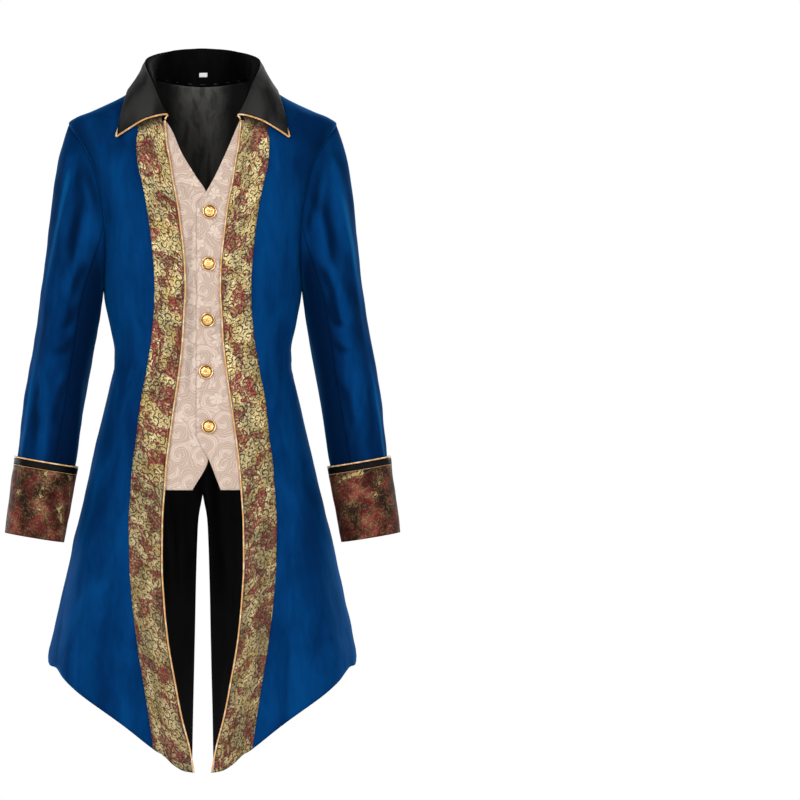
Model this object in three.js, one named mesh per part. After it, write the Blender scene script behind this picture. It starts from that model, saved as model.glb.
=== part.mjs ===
import * as THREE from 'three';

// Tailcoat on the form of a worn garment with nobody in it, in millimetres.
// The front faces -Y, +Z is up and the wearer's left is at +X.
// The origin lies between the shoulders at the level of the front neck.

// Driving dimensions
const VELVET = 2.0;
const LINING = 0.9;
const BROCADE = 1.0;
const VEST_CLOTH = 1.2;
const SATIN = 1.6;
const PIPING_R = 1.4;
const SEAM = 0.2;
const LIFT = 0.4;
const SQUARE = 0.8;
const NECK_FRONT = -40;
const FRONT_TIP = -1048;
const VENT_TOP = -628;
const SIDE_HEM = -800;
const UNDERARM = -303;
const ARM_ROWS = 10;
const SIDE_ROWS = 18;
const ROWS = ARM_ROWS + SIDE_ROWS;
const BUTTON_R = 11.2;

// Body form: height, half width, front depth, back depth
const BODY = [
  [28, 65, 45, 50],
  [14, 86, 54, 62],
  [0, 109, 60, 69],
  [-15.5, 134, 66, 76],
  [-34, 173, 72, 85],
  [-43, 196, 75, 89],
  [-53, 208, 79, 92],
  [-74, 202, 86, 98],
  [-110, 189, 97, 106],
  [-160, 175, 107, 110],
  [-200, 168, 112, 112],
  [-250, 159, 111, 108],
  [-325, 152, 107, 100],
  [-375, 142, 100, 90],
  [-406, 137, 98, 86],
  [-431, 138, 99, 88],
  [-468, 147, 101, 95],
  [-505, 156, 104, 103],
  [-558, 168, 109, 113],
  [-617, 180, 114, 121],
  [-691, 197, 120, 128],
  [-766, 213, 127, 135],
  [-840, 230, 134, 142],
  [-883, 239.5, 138, 146],
  [-960, 246, 143, 152],
  [-1060, 250, 148, 158],
];

// Front edge and outer edge of the brocade band: height, edge, band
const OPENING = [
  [8, 64, 99],
  [-40, 61, 102],
  [-85, 57.4, 101.9],
  [-115, 52, 100],
  [-139, 48.7, 94.6],
  [-177, 41.2, 87],
  [-211, 36.4, 81.6],
  [-279, 29.6, 75],
  [-313, 28.8, 73.6],
  [-346, 30.8, 74.7],
  [-386, 32.9, 78.9],
  [-412, 35.5, 83],
  [-453, 40.6, 90],
  [-493, 46.7, 96.7],
  [-538, 52.9, 101.5],
  [-578, 58.1, 106.9],
  [-618, 61.2, 109.8],
  [-668, 64.5, 112.7],
  [-732, 65.3, 112.4],
  [-790, 62.2, 108.8],
  [-851, 55.8, 102],
  [-905, 46.2, 93.6],
  [-964, 34.6, 84],
  [-1010, 22.5, 77.5],
  [-1050, 15, 70],
];

// Armholes from the shoulder tip to the underarm: height, angle in front, angle behind
const ARMHOLE = [
  [-53, 90, 90],
  [-74, 73, 106],
  [-116, 63.5, 118],
  [-160, 62.5, 119.5],
  [-194, 62.5, 119.5],
  [-248, 69, 115],
  [-285, 80, 106],
  [-303, 95, 95],
];

// Back hem and the vent: height of the hem at each half width
const BACK_HEM = [
  [17, -1052],
  [65, -1007],
  [97, -971],
  [128, -934],
  [155, -897],
  [182, -860],
  [205, -824],
  [216, -803],
  [240, -790],
];
// Vent: height, half width
const VENT = [
  [-628, 0],
  [-645, 4.6],
  [-693, 8.2],
  [-770, 10.6],
  [-880, 13],
  [-990, 15.4],
  [-1052, 16.5],
];
// Back guide line from the neck point to the hem: height, half width
const BACK_GUIDE = [
  [23, 72],
  [-60, 76],
  [-300, 72],
  [-406, 64],
  [-621, 80],
  [-971, 97],
];

// Sleeve below the cap: height of the axis, half width, half depth
const SLEEVE = [
  [-338, 47.4, 64],
  [-450, 47, 59],
  [-560, 46, 54],
  [-582, 45.2, 51.5],
  [-693, 44.4, 48.5],
];
const SLEEVE_X = 204.6;
const SLEEVE_TOP = -338;
const SLEEVE_END = -690.5;
const SLEEVE_SLOPE = 0.1565;
const SLEEVE_FORWARD = -20;
const SECTION_TILT = 9.5;
const CAP_ROWS = 5;
const ARM_LOWER_ROWS = 9;
const STEP = 18;

// Cuff: height of the axis at its bottom, at the foot of the black edge and at its top
const CUFF_BOTTOM = -692.5;
const CUFF_BAND = -587.5;
const CUFF_TOP = -578;
const CUFF_START = 252;
const CUFF_COLUMNS = 22;
const CUFF_LAP = 3.1;

// Collar from the centre back to the front end:
// share of the neck, stand height, stand lean, middle of the fall x y z, fall edge x y z
const COLLAR = [
  [0, 31, 41, 0, 80, 37, 0, 80, 4],
  [0.25, 31, 42, 66, 63, 34, 71, 64, 2],
  [0.5714, 32, 7, 97, 0, 31, 107, 0, 6],
  [0.714, 24, 2, 106, -54, -1, 118, -46, -20],
  [0.857, 13, 2, 98, -76, -29, 126, -66, -48],
  [0.93, 8, 3, 94, -79, -40, 129, -72, -61],
  [1, 3.2, 6, 93, -80, -49, 131, -80, -73],
];

// False waistcoat edges: height, inner edge of the left panel, inner edge of the right panel
const VEST = [
  [-50, 57, -57],
  [-65, 50.5, -47.5],
  [-99, 36, -33],
  [-136, 19, -11],
  [-161, 5, 5],
  [-184, -9.6, 10],
  [-532, -10, 10],
  [-570, 8.5, 8.5],
  [-618, 27.6, -16],
];
// Buttons: sideways place and height
const BUTTONS = [
  [10.4, -192],
  [8.8, -272],
  [7.1, -358],
  [4.7, -437],
  [9.1, -521],
];

const rad = (d) => (d * Math.PI) / 180;
const deg = (r) => (r * 180) / Math.PI;
const mix = (a, b, t) => a + (b - a) * t;
const vec = (x, y, z) => new THREE.Vector3(x, y, z);

// Smooth curve through a table that never overshoots its values
function curve(rows, column, key = 0) {
  const sorted = [...rows].sort((p, q) => p[key] - q[key]);
  const x = sorted.map((r) => r[key]);
  const y = sorted.map((r) => r[column]);
  const n = x.length;
  const slope = [];
  for (let i = 0; i < n - 1; i += 1) slope.push((y[i + 1] - y[i]) / (x[i + 1] - x[i]));
  const m = [slope[0]];
  for (let i = 1; i < n - 1; i += 1) {
    const s = slope[i - 1] * slope[i];
    m.push(s <= 0 ? 0 : (2 * s) / (slope[i - 1] + slope[i]));
  }
  m.push(slope[n - 2]);
  return (at) => {
    const v = Math.min(Math.max(at, x[0]), x[n - 1]);
    let i = 0;
    while (i < n - 2 && v > x[i + 1]) i += 1;
    const h = x[i + 1] - x[i];
    const t = (v - x[i]) / h;
    const t2 = t * t;
    const t3 = t2 * t;
    return (2 * t3 - 3 * t2 + 1) * y[i] + (t3 - 2 * t2 + t) * h * m[i]
      + (3 * t2 - 2 * t3) * y[i + 1] + (t3 - t2) * h * m[i + 1];
  };
}

const halfWidth = curve(BODY, 1);
const frontDepth = curve(BODY, 2);
const backDepth = curve(BODY, 3);
const edgeX = curve(OPENING, 1);
const bandX = curve(OPENING, 2);
const backHem = curve(BACK_HEM, 1);
const ventX = curve(VENT, 1);
const guideX = curve(BACK_GUIDE, 1);
const armWidth = curve(SLEEVE, 1);
const armDepth = curve(SLEEVE, 2);

// Depth of the soft flutes of the skirts
function flute(theta, z) {
  const grow = Math.min(Math.max((-450 - z) / 560, 0), 1);
  return 7 * grow * grow * (3 - 2 * grow) * Math.sin(rad(6 * (theta - 90)));
}

// Point of the body form at an angle from the centre front, on the wearer's left
function form(theta, z) {
  const s = Math.max(Math.sin(rad(theta)), 0);
  const c = Math.cos(rad(theta));
  const depth = c > 0 ? frontDepth(z) : backDepth(z);
  const k = flute(theta, z);
  const x = halfWidth(z) * s ** SQUARE + k * s;
  const y = -Math.sign(c) * depth * Math.abs(c) ** SQUARE - k * c;
  return vec(x, y, z);
}

function formNormal(theta, z) {
  const a = form(Math.min(theta + 0.6, 180), z).sub(form(Math.max(theta - 0.6, 0), z));
  const b = form(theta, z - 1.5).sub(form(theta, z + 1.5));
  const n = a.cross(b).normalize();
  if (theta < 0.5 || theta > 179.5) n.x = 0;
  return n.normalize().negate();
}

// Angle at which the form reaches a half width
function angleAt(x, z, behind = false) {
  const share = Math.min(Math.max(x / halfWidth(z), 0), 1);
  const t = deg(Math.asin(share ** (1 / SQUARE)));
  return behind ? 180 - t : t;
}

// Angle just short of the shoulder seam
function shoulder(z, behind) {
  const depth = behind ? backDepth(z) : frontDepth(z);
  const e = deg((SEAM / depth) ** (1 / SQUARE));
  return behind ? 90 + e : 90 - e;
}

// Side curve of a body panel: armhole, then side seam
function sideLine(behind) {
  const column = behind ? 2 : 1;
  const at = [0];
  for (let i = 1; i < ARMHOLE.length; i += 1) {
    const p = form(ARMHOLE[i][column], ARMHOLE[i][0]);
    const q = form(ARMHOLE[i - 1][column], ARMHOLE[i - 1][0]);
    at.push(at[i - 1] + p.distanceTo(q));
  }
  const rows = ARMHOLE.map((r, i) => [at[i] / at[at.length - 1], r[0], r[column]]);
  const z = curve(rows, 1);
  const theta = curve(rows, 2);
  const line = [];
  const gap = behind ? 0.1 : -0.1;
  for (let i = 0; i <= ARM_ROWS; i += 1) line.push([theta(i / ARM_ROWS), z(i / ARM_ROWS)]);
  line[0][0] = shoulder(line[0][1], behind);
  line[ARM_ROWS][0] += gap;
  for (let i = 1; i <= SIDE_ROWS; i += 1) {
    const t = i / SIDE_ROWS;
    line.push([mix(95, 104, t) + gap, mix(UNDERARM, SIDE_HEM, t)]);
  }
  return line;
}

const FRONT_SIDE = sideLine(false);
const BACK_SIDE = sideLine(true);

function splitRow(i, top, middle, bottom) {
  if (i <= ARM_ROWS) return mix(top, middle, i / ARM_ROWS);
  return mix(middle, bottom, (i - ARM_ROWS) / SIDE_ROWS);
}

// Height of the front hem at an angle: straight from tip to corner, then up to the side seam
function frontHem(theta) {
  if (theta >= 88) {
    const t = (theta - 88) / 16;
    return mix(-886, SIDE_HEM, t * t * (3 - 2 * t) * 0.4 + t * 0.6);
  }
  let z = -960;
  for (let i = 0; i < 40; i += 1) {
    const x = halfWidth(z) * Math.sin(rad(theta)) ** SQUARE;
    z = mix(z, -1056 + 0.78 * (x - 22), 0.6);
  }
  return z;
}

// Front panel grid of angle and height, columns from the front edge to the side
const NECK_COLUMN = 3;
const BAND_COLUMN = 4;
const FRONT_COLUMNS = 12;
const NECK_FRONT_LINE = [
  [61, NECK_FRONT],
  [68.5, -17],
  [74.5, 5],
  [72, 23],
  [100, 6],
];
// Top of the band under the collar: share of the first row skipped, extra lift
const BAND_TOP = [
  [0.2, 0.2],
  [0.45, 0.4],
  [0.8, 1.4],
  [0.95, 2.6],
  [0.9, 1.4],
];
const HEM_ANGLES = [13.4, 24, 35, 47, 59, 72, 88, 96, 104];

function frontGrid() {
  const grid = [];
  for (let i = 0; i <= ROWS; i += 1) {
    const zEdge = splitRow(i, NECK_FRONT, -310, FRONT_TIP);
    const zBand = splitRow(i, 6, -300, -1013);
    const topFade = Math.max(0, 1 - i / 5) ** 2;
    const hemFade = Math.max(0, 1 - (ROWS - i) / 8) ** 2;
    const row = [];
    for (let j = 0; j <= BAND_COLUMN; j += 1) {
      const t = j / BAND_COLUMN;
      let x = mix(edgeX(zEdge), bandX(zBand), t);
      let z = mix(zEdge, zBand, t);
      x += topFade * (NECK_FRONT_LINE[j][0] - mix(61, 100, t));
      z += topFade * (NECK_FRONT_LINE[j][1] - mix(NECK_FRONT, 6, t));
      z -= hemFade * 8 * Math.sin(Math.PI * Math.min(t * 1.4, 1)) * (t < 1 ? 1 : 0) * 0.8;
      let theta = angleAt(x, z);
      if (i === 0 && j >= NECK_COLUMN) theta = shoulder(z, false);
      row.push([theta, z]);
    }
    const [ta, za] = row[BAND_COLUMN];
    const [tb, zb] = FRONT_SIDE[i];
    const span = FRONT_COLUMNS - BAND_COLUMN;
    for (let j = 1; j <= span; j += 1) {
      const t = j / span;
      let theta = mix(ta, tb, t);
      let z = mix(za, zb, t);
      if (i === 0) theta = shoulder(z, false);
      const hemTheta = Math.min(HEM_ANGLES[j], 104 - 0.1);
      theta += hemFade * (hemTheta - mix(13.4, 103.9, t));
      z += hemFade * (frontHem(hemTheta) - mix(-1013, SIDE_HEM, t)) * (j < span ? 1 : 0);
      row.push([theta, z]);
    }
    grid.push(row);
  }
  return grid;
}

// Back panel grid of one half, columns from the centre back to the side
const BACK_NECK = 4;
const BACK_COLUMNS = 9;
const NECK_BACK_LINE = [
  [0, 14],
  [21, 15],
  [41, 17.5],
  [59, 20.5],
  [72, 23],
];
const VENT_ROW = 17;

function backCentre(i) {
  if (i <= ARM_ROWS) return mix(14, -310, i / ARM_ROWS);
  if (i <= VENT_ROW) return mix(-310, VENT_TOP, (i - ARM_ROWS) / (VENT_ROW - ARM_ROWS));
  return mix(VENT_TOP, -1052, (i - VENT_ROW) / (ROWS - VENT_ROW));
}

function hemHeight(theta) {
  let z = -900;
  for (let i = 0; i < 40; i += 1) {
    z = mix(z, backHem(halfWidth(z) * Math.sin(rad(theta)) ** SQUARE), 0.5);
  }
  return z;
}

function backGrid() {
  const grid = [];
  for (let i = 0; i <= ROWS; i += 1) {
    const zCentre = backCentre(i);
    const zGuide = splitRow(i, 23, -305, -971);
    const topFade = Math.max(0, 1 - i / 4) ** 2;
    const hemFade = Math.max(0, 1 - (ROWS - i) / 8) ** 2;
    const open = i > VENT_ROW ? ventX(zCentre) : 0;
    const row = [];
    for (let j = 0; j <= BACK_NECK; j += 1) {
      const t = j / BACK_NECK;
      let x = mix(open, guideX(zGuide), t);
      let z = mix(zCentre, zGuide, t);
      x += topFade * (NECK_BACK_LINE[j][0] - mix(0, 72, t));
      z += topFade * (NECK_BACK_LINE[j][1] - mix(14, 23, t));
      z += hemFade * (backHem(x) - mix(-1052, -971, t)) * (j > 0 && j < BACK_NECK ? 1 : 0);
      let theta = angleAt(x, z, true);
      if (i === 0 && j === BACK_NECK) theta = shoulder(z, true);
      row.push([theta, z]);
    }
    const [ta, za] = row[BACK_NECK];
    const [tb, zb] = BACK_SIDE[i];
    const span = BACK_COLUMNS - BACK_NECK;
    const hemStart = angleAt(97, -971, true);
    for (let j = 1; j <= span; j += 1) {
      const t = j / span;
      let theta = mix(ta, tb, t);
      let z = mix(za, zb, t);
      if (i === 0) theta = shoulder(z, true);
      const line = mix(hemStart, 104.1, t);
      z += hemFade * (hemHeight(line) - mix(-971, SIDE_HEM, t)) * (j < span ? 1 : 0);
      row.push([theta, z]);
    }
    grid.push(row);
  }
  return grid;
}

const FRONT = frontGrid();
const BACK = backGrid();

function mirrored(p, side) {
  return side > 0 ? p : vec(-p.x, p.y, p.z);
}

// Places the points and outward directions of an angle and height grid on one side
function onForm(grid, side, out = 0) {
  const points = [];
  const normals = [];
  for (const row of grid) {
    const p = [];
    const n = [];
    for (const [theta, z] of row) {
      const normal = formNormal(theta, z);
      p.push(mirrored(form(theta, z).addScaledVector(normal, out), side));
      n.push(mirrored(normal, side));
    }
    points.push(p);
    normals.push(n);
  }
  return { points, normals };
}

// Outward directions of a free grid, from its neighbours
function gridNormals(points, sign) {
  return points.map((row, i) => row.map((p, j) => {
    const down = points[Math.min(i + 1, points.length - 1)][j].clone()
      .sub(points[Math.max(i - 1, 0)][j]);
    const across = row[Math.min(j + 1, row.length - 1)].clone().sub(row[Math.max(j - 1, 0)]);
    return down.cross(across).normalize().multiplyScalar(sign);
  }));
}

// Closed wall of cloth: the given face, the same face moved in, and the cut edges
function wall(vertices, inner, faces) {
  const n = vertices.length;
  const index = [];
  const edges = new Map();
  for (const f of faces) {
    for (let t = 1; t < f.length - 1; t += 1) {
      index.push(f[0], f[t], f[t + 1]);
      index.push(f[0] + n, f[t + 1] + n, f[t] + n);
    }
    for (let k = 0; k < f.length; k += 1) {
      const a = f[k];
      const b = f[(k + 1) % f.length];
      if (edges.has(`${b}_${a}`)) edges.delete(`${b}_${a}`);
      else edges.set(`${a}_${b}`, [a, b]);
    }
  }
  for (const [a, b] of edges.values()) {
    index.push(b, a, a + n);
    index.push(b, a + n, b + n);
  }
  const position = [...vertices, ...inner].flatMap((p) => [p.x, p.y, p.z]);
  const geometry = new THREE.BufferGeometry();
  geometry.setAttribute('position', new THREE.Float32BufferAttribute(position, 3));
  geometry.setIndex(index);
  geometry.computeVertexNormals();
  return geometry;
}

// Wall of cloth over a rectangular grid
function sheet(points, normals, thickness) {
  const rows = points.length;
  const columns = points[0].length;
  const flat = points.flat();
  const dirs = normals.flat();
  const inner = flat.map((p, k) => p.clone().addScaledVector(dirs[k], -thickness));
  const r = Math.floor((rows - 1) / 2);
  const c = Math.floor((columns - 1) / 2);
  const a = points[r + 1][c].clone().sub(points[r][c]);
  const b = points[r][c + 1].clone().sub(points[r][c]);
  const forward = a.cross(b).dot(normals[r][c]) > 0;
  const faces = [];
  for (let i = 0; i < rows - 1; i += 1) {
    for (let j = 0; j < columns - 1; j += 1) {
      const q = [i * columns + j, (i + 1) * columns + j];
      q.push((i + 1) * columns + j + 1, i * columns + j + 1);
      faces.push(forward ? q : q.reverse());
    }
  }
  return wall(flat, inner, faces);
}

// Whole back: two halves that share the centre line above the vent
function backSheet(out, thickness) {
  const vertices = [];
  const dirs = [];
  const ids = {};
  const faces = [];
  for (const side of [1, -1]) {
    const { points, normals } = onForm(BACK, side, out);
    points.forEach((row, i) => row.forEach((p, j) => {
      const shared = j === 0 && i <= VENT_ROW;
      const key = shared ? `c_${i}` : `${side}_${i}_${j}`;
      if (ids[key] === undefined) {
        ids[key] = vertices.length;
        vertices.push(shared ? vec(0, p.y, p.z) : p);
        dirs.push(normals[i][j]);
      }
    }));
    const id = (i, j) => ids[j === 0 && i <= VENT_ROW ? `c_${i}` : `${side}_${i}_${j}`];
    for (let i = 0; i < ROWS; i += 1) {
      for (let j = 0; j < BACK_COLUMNS; j += 1) {
        const q = [id(i, j), id(i + 1, j), id(i + 1, j + 1), id(i, j + 1)];
        faces.push(side > 0 ? q.reverse() : q);
      }
    }
  }
  const inner = vertices.map((p, k) => p.clone().addScaledVector(dirs[k], -thickness));
  return wall(vertices, inner, faces);
}

// Sleeve section point: angle 0 outside, 90 in front, 180 inside, 270 behind
function armCentre(z) {
  const down = (SLEEVE_TOP - z) / (SLEEVE_TOP - SLEEVE_END);
  const y = SLEEVE_FORWARD * Math.max(down, 0) ** 1.5;
  return vec(SLEEVE_X + SLEEVE_SLOPE * (SLEEVE_TOP - z), y, z);
}

function armPoint(phi, z, out = 0) {
  const fold = 2.4 * Math.sin(rad(3 * phi + 50) + z / 90) * Math.sin(Math.PI
    * Math.min(Math.max((SLEEVE_TOP - z) / 230, 0), 1));
  const w = armWidth(z) + out + fold;
  const d = armDepth(z) + out + fold;
  const c = Math.cos(rad(phi));
  const s = Math.sin(rad(phi));
  const across = Math.sign(c) * Math.abs(c) ** 0.92 * w;
  const deep = -Math.sign(s) * Math.abs(s) ** 0.92 * d;
  const p = armCentre(z);
  p.x += across * Math.cos(rad(SECTION_TILT));
  p.y += deep;
  p.z += across * Math.sin(rad(SECTION_TILT));
  return p;
}

// Armhole as a closed ring of points, from the shoulder tip round the front
const ARM_RING = [];
for (let k = 0; k <= ARM_ROWS; k += 1) {
  const [theta, z] = FRONT_SIDE[k];
  ARM_RING.push([form(theta, z), formNormal(theta, z)]);
}
for (let k = ARM_ROWS - 1; k >= 1; k -= 1) {
  const [theta, z] = BACK_SIDE[k];
  ARM_RING.push([form(theta, z), formNormal(theta, z)]);
}

function ringAt(k) {
  const n = ARM_RING.length;
  const i = Math.floor(k);
  const t = k - i;
  const a = ARM_RING[((i % n) + n) % n];
  const b = ARM_RING[(((i + 1) % n) + n) % n];
  const p = a[0].clone().lerp(b[0], t);
  return [p, a[1].clone().lerp(b[1], t).normalize()];
}

function capPoint(k, t) {
  const phi = k * STEP;
  const [start] = ringAt(k);
  const end = armPoint(phi, SLEEVE_TOP);
  const c = Math.cos(rad(phi));
  const s = Math.sin(rad(phi));
  const reach = start.distanceTo(end);
  const leave = vec(0.1 + 0.13 * (1 + c), -0.3 * s, -0.95).normalize();
  start.addScaledVector(leave, 0.6);
  const arrive = vec(SLEEVE_SLOPE, 0, -1).normalize().multiplyScalar(reach);
  leave.multiplyScalar(reach);
  const t2 = t * t;
  const t3 = t2 * t;
  return vec(0, 0, 0)
    .addScaledVector(start, 2 * t3 - 3 * t2 + 1)
    .addScaledVector(leave, t3 - 2 * t2 + t)
    .addScaledVector(end, 3 * t2 - 2 * t3)
    .addScaledVector(arrive, t3 - t2);
}

function sleevePiece(from, to, side) {
  const columns = [from - 1, from + 0.014];
  for (let k = from + 1; k < to; k += 1) columns.push(k);
  columns.push(to - 0.014, to + 1);
  const points = [];
  for (let r = 0; r <= CAP_ROWS + ARM_LOWER_ROWS; r += 1) {
    if (r < CAP_ROWS) points.push(columns.map((k) => capPoint(k, r / CAP_ROWS)));
    else {
      const z = mix(SLEEVE_TOP, SLEEVE_END, (r - CAP_ROWS) / ARM_LOWER_ROWS);
      points.push(columns.map((k) => armPoint(k * STEP, z)));
    }
  }
  const normals = gridNormals(points, 1);
  const flip = normals[10][3].dot(points[10][3].clone().sub(armCentre(points[10][3].z))) < 0;
  const inward = normals.map((row, i) => row.map((n, j) => {
    if (flip) n.negate();
    if (i > 0) return n;
    const body = ringAt(columns[j])[1];
    const share = Math.min(Math.max((body.dot(n) - 0.1) / 0.5, 0), 1);
    const d = n.clone().lerp(body, share).normalize();
    return d.multiplyScalar(1 / Math.max(d.dot(n), 0.5));
  }));
  const place = (row) => row.slice(1, -1).map((p) => mirrored(p, side));
  return sheet(points.map(place), inward.map(place), VELVET);
}

// Cuff strip that laps over itself behind the wrist
function cuffOut(column, z) {
  const lap = CUFF_LAP * Math.min(Math.max((4.2 - column) / 2.2, 0), 1);
  const flare = 2.6 * (z - CUFF_BOTTOM) / (CUFF_TOP - CUFF_BOTTOM);
  return 2.2 + flare + lap;
}

function cuffPoint(column, z) {
  return armPoint(CUFF_START + STEP * column, z, cuffOut(column, z));
}

function cuffStrip(z0, z1, rows, thickness, side) {
  const points = [];
  for (let r = 0; r <= rows; r += 1) {
    const row = [];
    for (let c = 0; c <= CUFF_COLUMNS; c += 1) row.push(cuffPoint(c, mix(z0, z1, r / rows)));
    points.push(row);
  }
  const out = points[0][8].clone().sub(armCentre(z0));
  const sign = gridNormals(points, 1)[0][8].dot(out) > 0 ? 1 : -1;
  const normals = gridNormals(points, sign);
  const place = (row) => row.map((p) => mirrored(p, side));
  return sheet(points.map(place), normals.map(place), thickness);
}

// Round cord along a line of points
function cord(points, radius, steps, sides = 6) {
  const shape = new THREE.Shape();
  for (let k = 0; k < sides; k += 1) {
    const a = (2 * Math.PI * k) / sides;
    if (k === 0) shape.moveTo(radius * Math.cos(a), radius * Math.sin(a));
    else shape.lineTo(radius * Math.cos(a), radius * Math.sin(a));
  }
  const path = new THREE.CatmullRomCurve3(points, false, 'centripetal');
  return new THREE.ExtrudeGeometry(shape, { steps, bevelEnabled: false, extrudePath: path });
}

function frontPiping(side) {
  const line = [];
  for (let i = 0; i <= ROWS; i += 1) {
    const z = i === 0 ? -51 : splitRow(i, NECK_FRONT, -310, FRONT_TIP);
    const theta = angleAt(edgeX(z), z);
    const n = formNormal(theta, z);
    const p = form(theta, z);
    p.x -= PIPING_R + 0.5;
    line.push(mirrored(p.addScaledVector(n, -0.2), side));
  }
  return cord(line, PIPING_R, 33);
}

function cuffPiping(side) {
  const line = [];
  const radius = PIPING_R - 0.2;
  const up = vec(-SLEEVE_SLOPE, 0, 1).normalize().multiplyScalar(radius + 0.7);
  const edge = (z) => {
    const p = cuffPoint(0, z);
    const q = cuffPoint(1, z);
    const c = armCentre(z);
    const outward = p.clone().sub(c).setZ(0).normalize();
    p.add(p.clone().sub(q).setZ(0).normalize().multiplyScalar(radius + 1.2));
    return p.addScaledVector(outward, -0.8);
  };
  for (let r = 0; r <= 4; r += 1) line.push(edge(mix(CUFF_BOTTOM + 3, CUFF_TOP - 1, r / 4)));
  line.push(edge(CUFF_TOP).addScaledVector(up, 2.0));
  for (let c = 0; c <= CUFF_COLUMNS - 2; c += 1) {
    const p = cuffPoint(c === 0 ? 0.8 : c, CUFF_TOP);
    const inward = armCentre(CUFF_TOP).sub(p).setZ(0).normalize().multiplyScalar(0.8);
    line.push(p.add(up).add(inward));
  }
  line[line.length - 1].lerp(line[line.length - 2], 0.35);
  return cord(line.map((p) => mirrored(p, side)), radius, 32, 5);
}

// Signed distance of a point from the body form, by its slope
function formLevel(p) {
  const d = p.y < 0 ? frontDepth(p.z) : backDepth(p.z);
  const power = 2 / SQUARE;
  return (Math.abs(p.x) / halfWidth(p.z)) ** power + (Math.abs(p.y) / d) ** power;
}

function lifted(p, clearance) {
  const q = p.clone();
  for (let k = 0; k < 6; k += 1) {
    const f = formLevel(q);
    const g = vec(
      formLevel(vec(q.x + 0.5, q.y, q.z)) - formLevel(vec(q.x - 0.5, q.y, q.z)),
      formLevel(vec(q.x, q.y + 0.5, q.z)) - formLevel(vec(q.x, q.y - 0.5, q.z)),
      formLevel(vec(q.x, q.y, q.z + 0.5)) - formLevel(vec(q.x, q.y, q.z - 0.5)),
    );
    const level = Math.sign(f) * (f ** 0.4 - 1) / (0.4 * g.length() * f ** -0.6);
    if (level >= clearance) break;
    q.addScaledVector(g.normalize(), Math.min(clearance - level, 4));
  }
  return q;
}

// Neck seam of one side from the centre back to the front end, and the way into the neck
const NECK_LINE = [];
for (let j = 0; j <= BACK_NECK; j += 1) NECK_LINE.push(BACK[0][j]);
for (let j = NECK_COLUMN - 1; j >= 0; j -= 1) NECK_LINE.push(FRONT[0][j]);

function neckAt(share) {
  const n = NECK_LINE.length - 1;
  const at = Math.min(share * n, n - 1e-6);
  const i = Math.floor(at);
  const [t0, z0] = NECK_LINE[i];
  const [t1, z1] = NECK_LINE[i + 1];
  const a = form(t0, z0);
  const b = form(t1, z1);
  const p = a.clone().lerp(b, at - i);
  const n0 = formNormal(t0, z0).lerp(formNormal(t1, z1), at - i).normalize();
  const before = form(...NECK_LINE[Math.max(i - 1, 0)]);
  const along = b.clone().sub(i > 0 && at - i < 0.5 ? before : a).normalize();
  const away = along.clone().cross(n0).normalize();
  if (away.z < 0 && share < 0.7) away.negate();
  if (share >= 0.7 && away.x > 0) away.negate();
  return { point: p, normal: n0, away };
}

const collarColumn = [1, 2, 3, 4, 5, 6, 7, 8].map((c) => curve(COLLAR, c));

function collarProfile(share) {
  const neck = neckAt(share);
  const v = collarColumn.map((f) => f(share));
  const crest = neck.point.clone().addScaledVector(neck.normal, v[0])
    .addScaledVector(neck.away, v[1]);
  const foot = neck.point.clone().addScaledVector(neck.away, 0.9)
    .addScaledVector(neck.normal, -SATIN);
  const middle = lifted(vec(v[2], v[3], v[4]), 6.5);
  const edge = lifted(vec(v[5], v[6], v[7]), 5.6);
  const turn = Math.min(Math.max((share - 0.8) / 0.2, 0), 1);
  const up = crest.clone().sub(foot).normalize().lerp(neck.away, turn).normalize();
  const out = edge.clone().sub(foot).lerp(neck.normal, turn);
  out.addScaledVector(up, -out.dot(up)).normalize();
  const fold = 3.3;
  const inside = crest.clone().addScaledVector(up, -fold).addScaledVector(out, -fold * 0.9);
  const outside = crest.clone().addScaledVector(up, -fold).addScaledVector(out, fold);
  inside.addScaledVector(neck.away, 1.3 * turn);
  const stand = foot.clone().lerp(inside, 0.5).addScaledVector(neck.away, 0.8 * turn);
  const high = lifted(outside.clone().lerp(middle, 0.5).addScaledVector(out, 1.2), 6);
  const low = lifted(middle.clone().lerp(edge, 0.5), 6.2);
  return [foot, stand, inside, crest, outside, high, middle, low, edge];
}

const COLLAR_STATIONS = 14;
const COLLAR_GRID = [];
for (let k = -COLLAR_STATIONS; k <= COLLAR_STATIONS; k += 1) {
  const row = collarProfile(Math.abs(k) / COLLAR_STATIONS);
  COLLAR_GRID.push(row.map((p) => mirrored(p, k < 0 ? -1 : 1)));
}

function collarNormals() {
  const sign = gridNormals(COLLAR_GRID, 1)[COLLAR_STATIONS][6].y < 0 ? -1 : 1;
  const n = gridNormals(COLLAR_GRID, sign);
  for (let k = -COLLAR_STATIONS; k <= COLLAR_STATIONS; k += 1) {
    const seam = neckAt(Math.abs(k) / COLLAR_STATIONS).normal.negate();
    n[k + COLLAR_STATIONS][0] = mirrored(seam, k < 0 ? -1 : 1);
  }
  return n;
}

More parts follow.
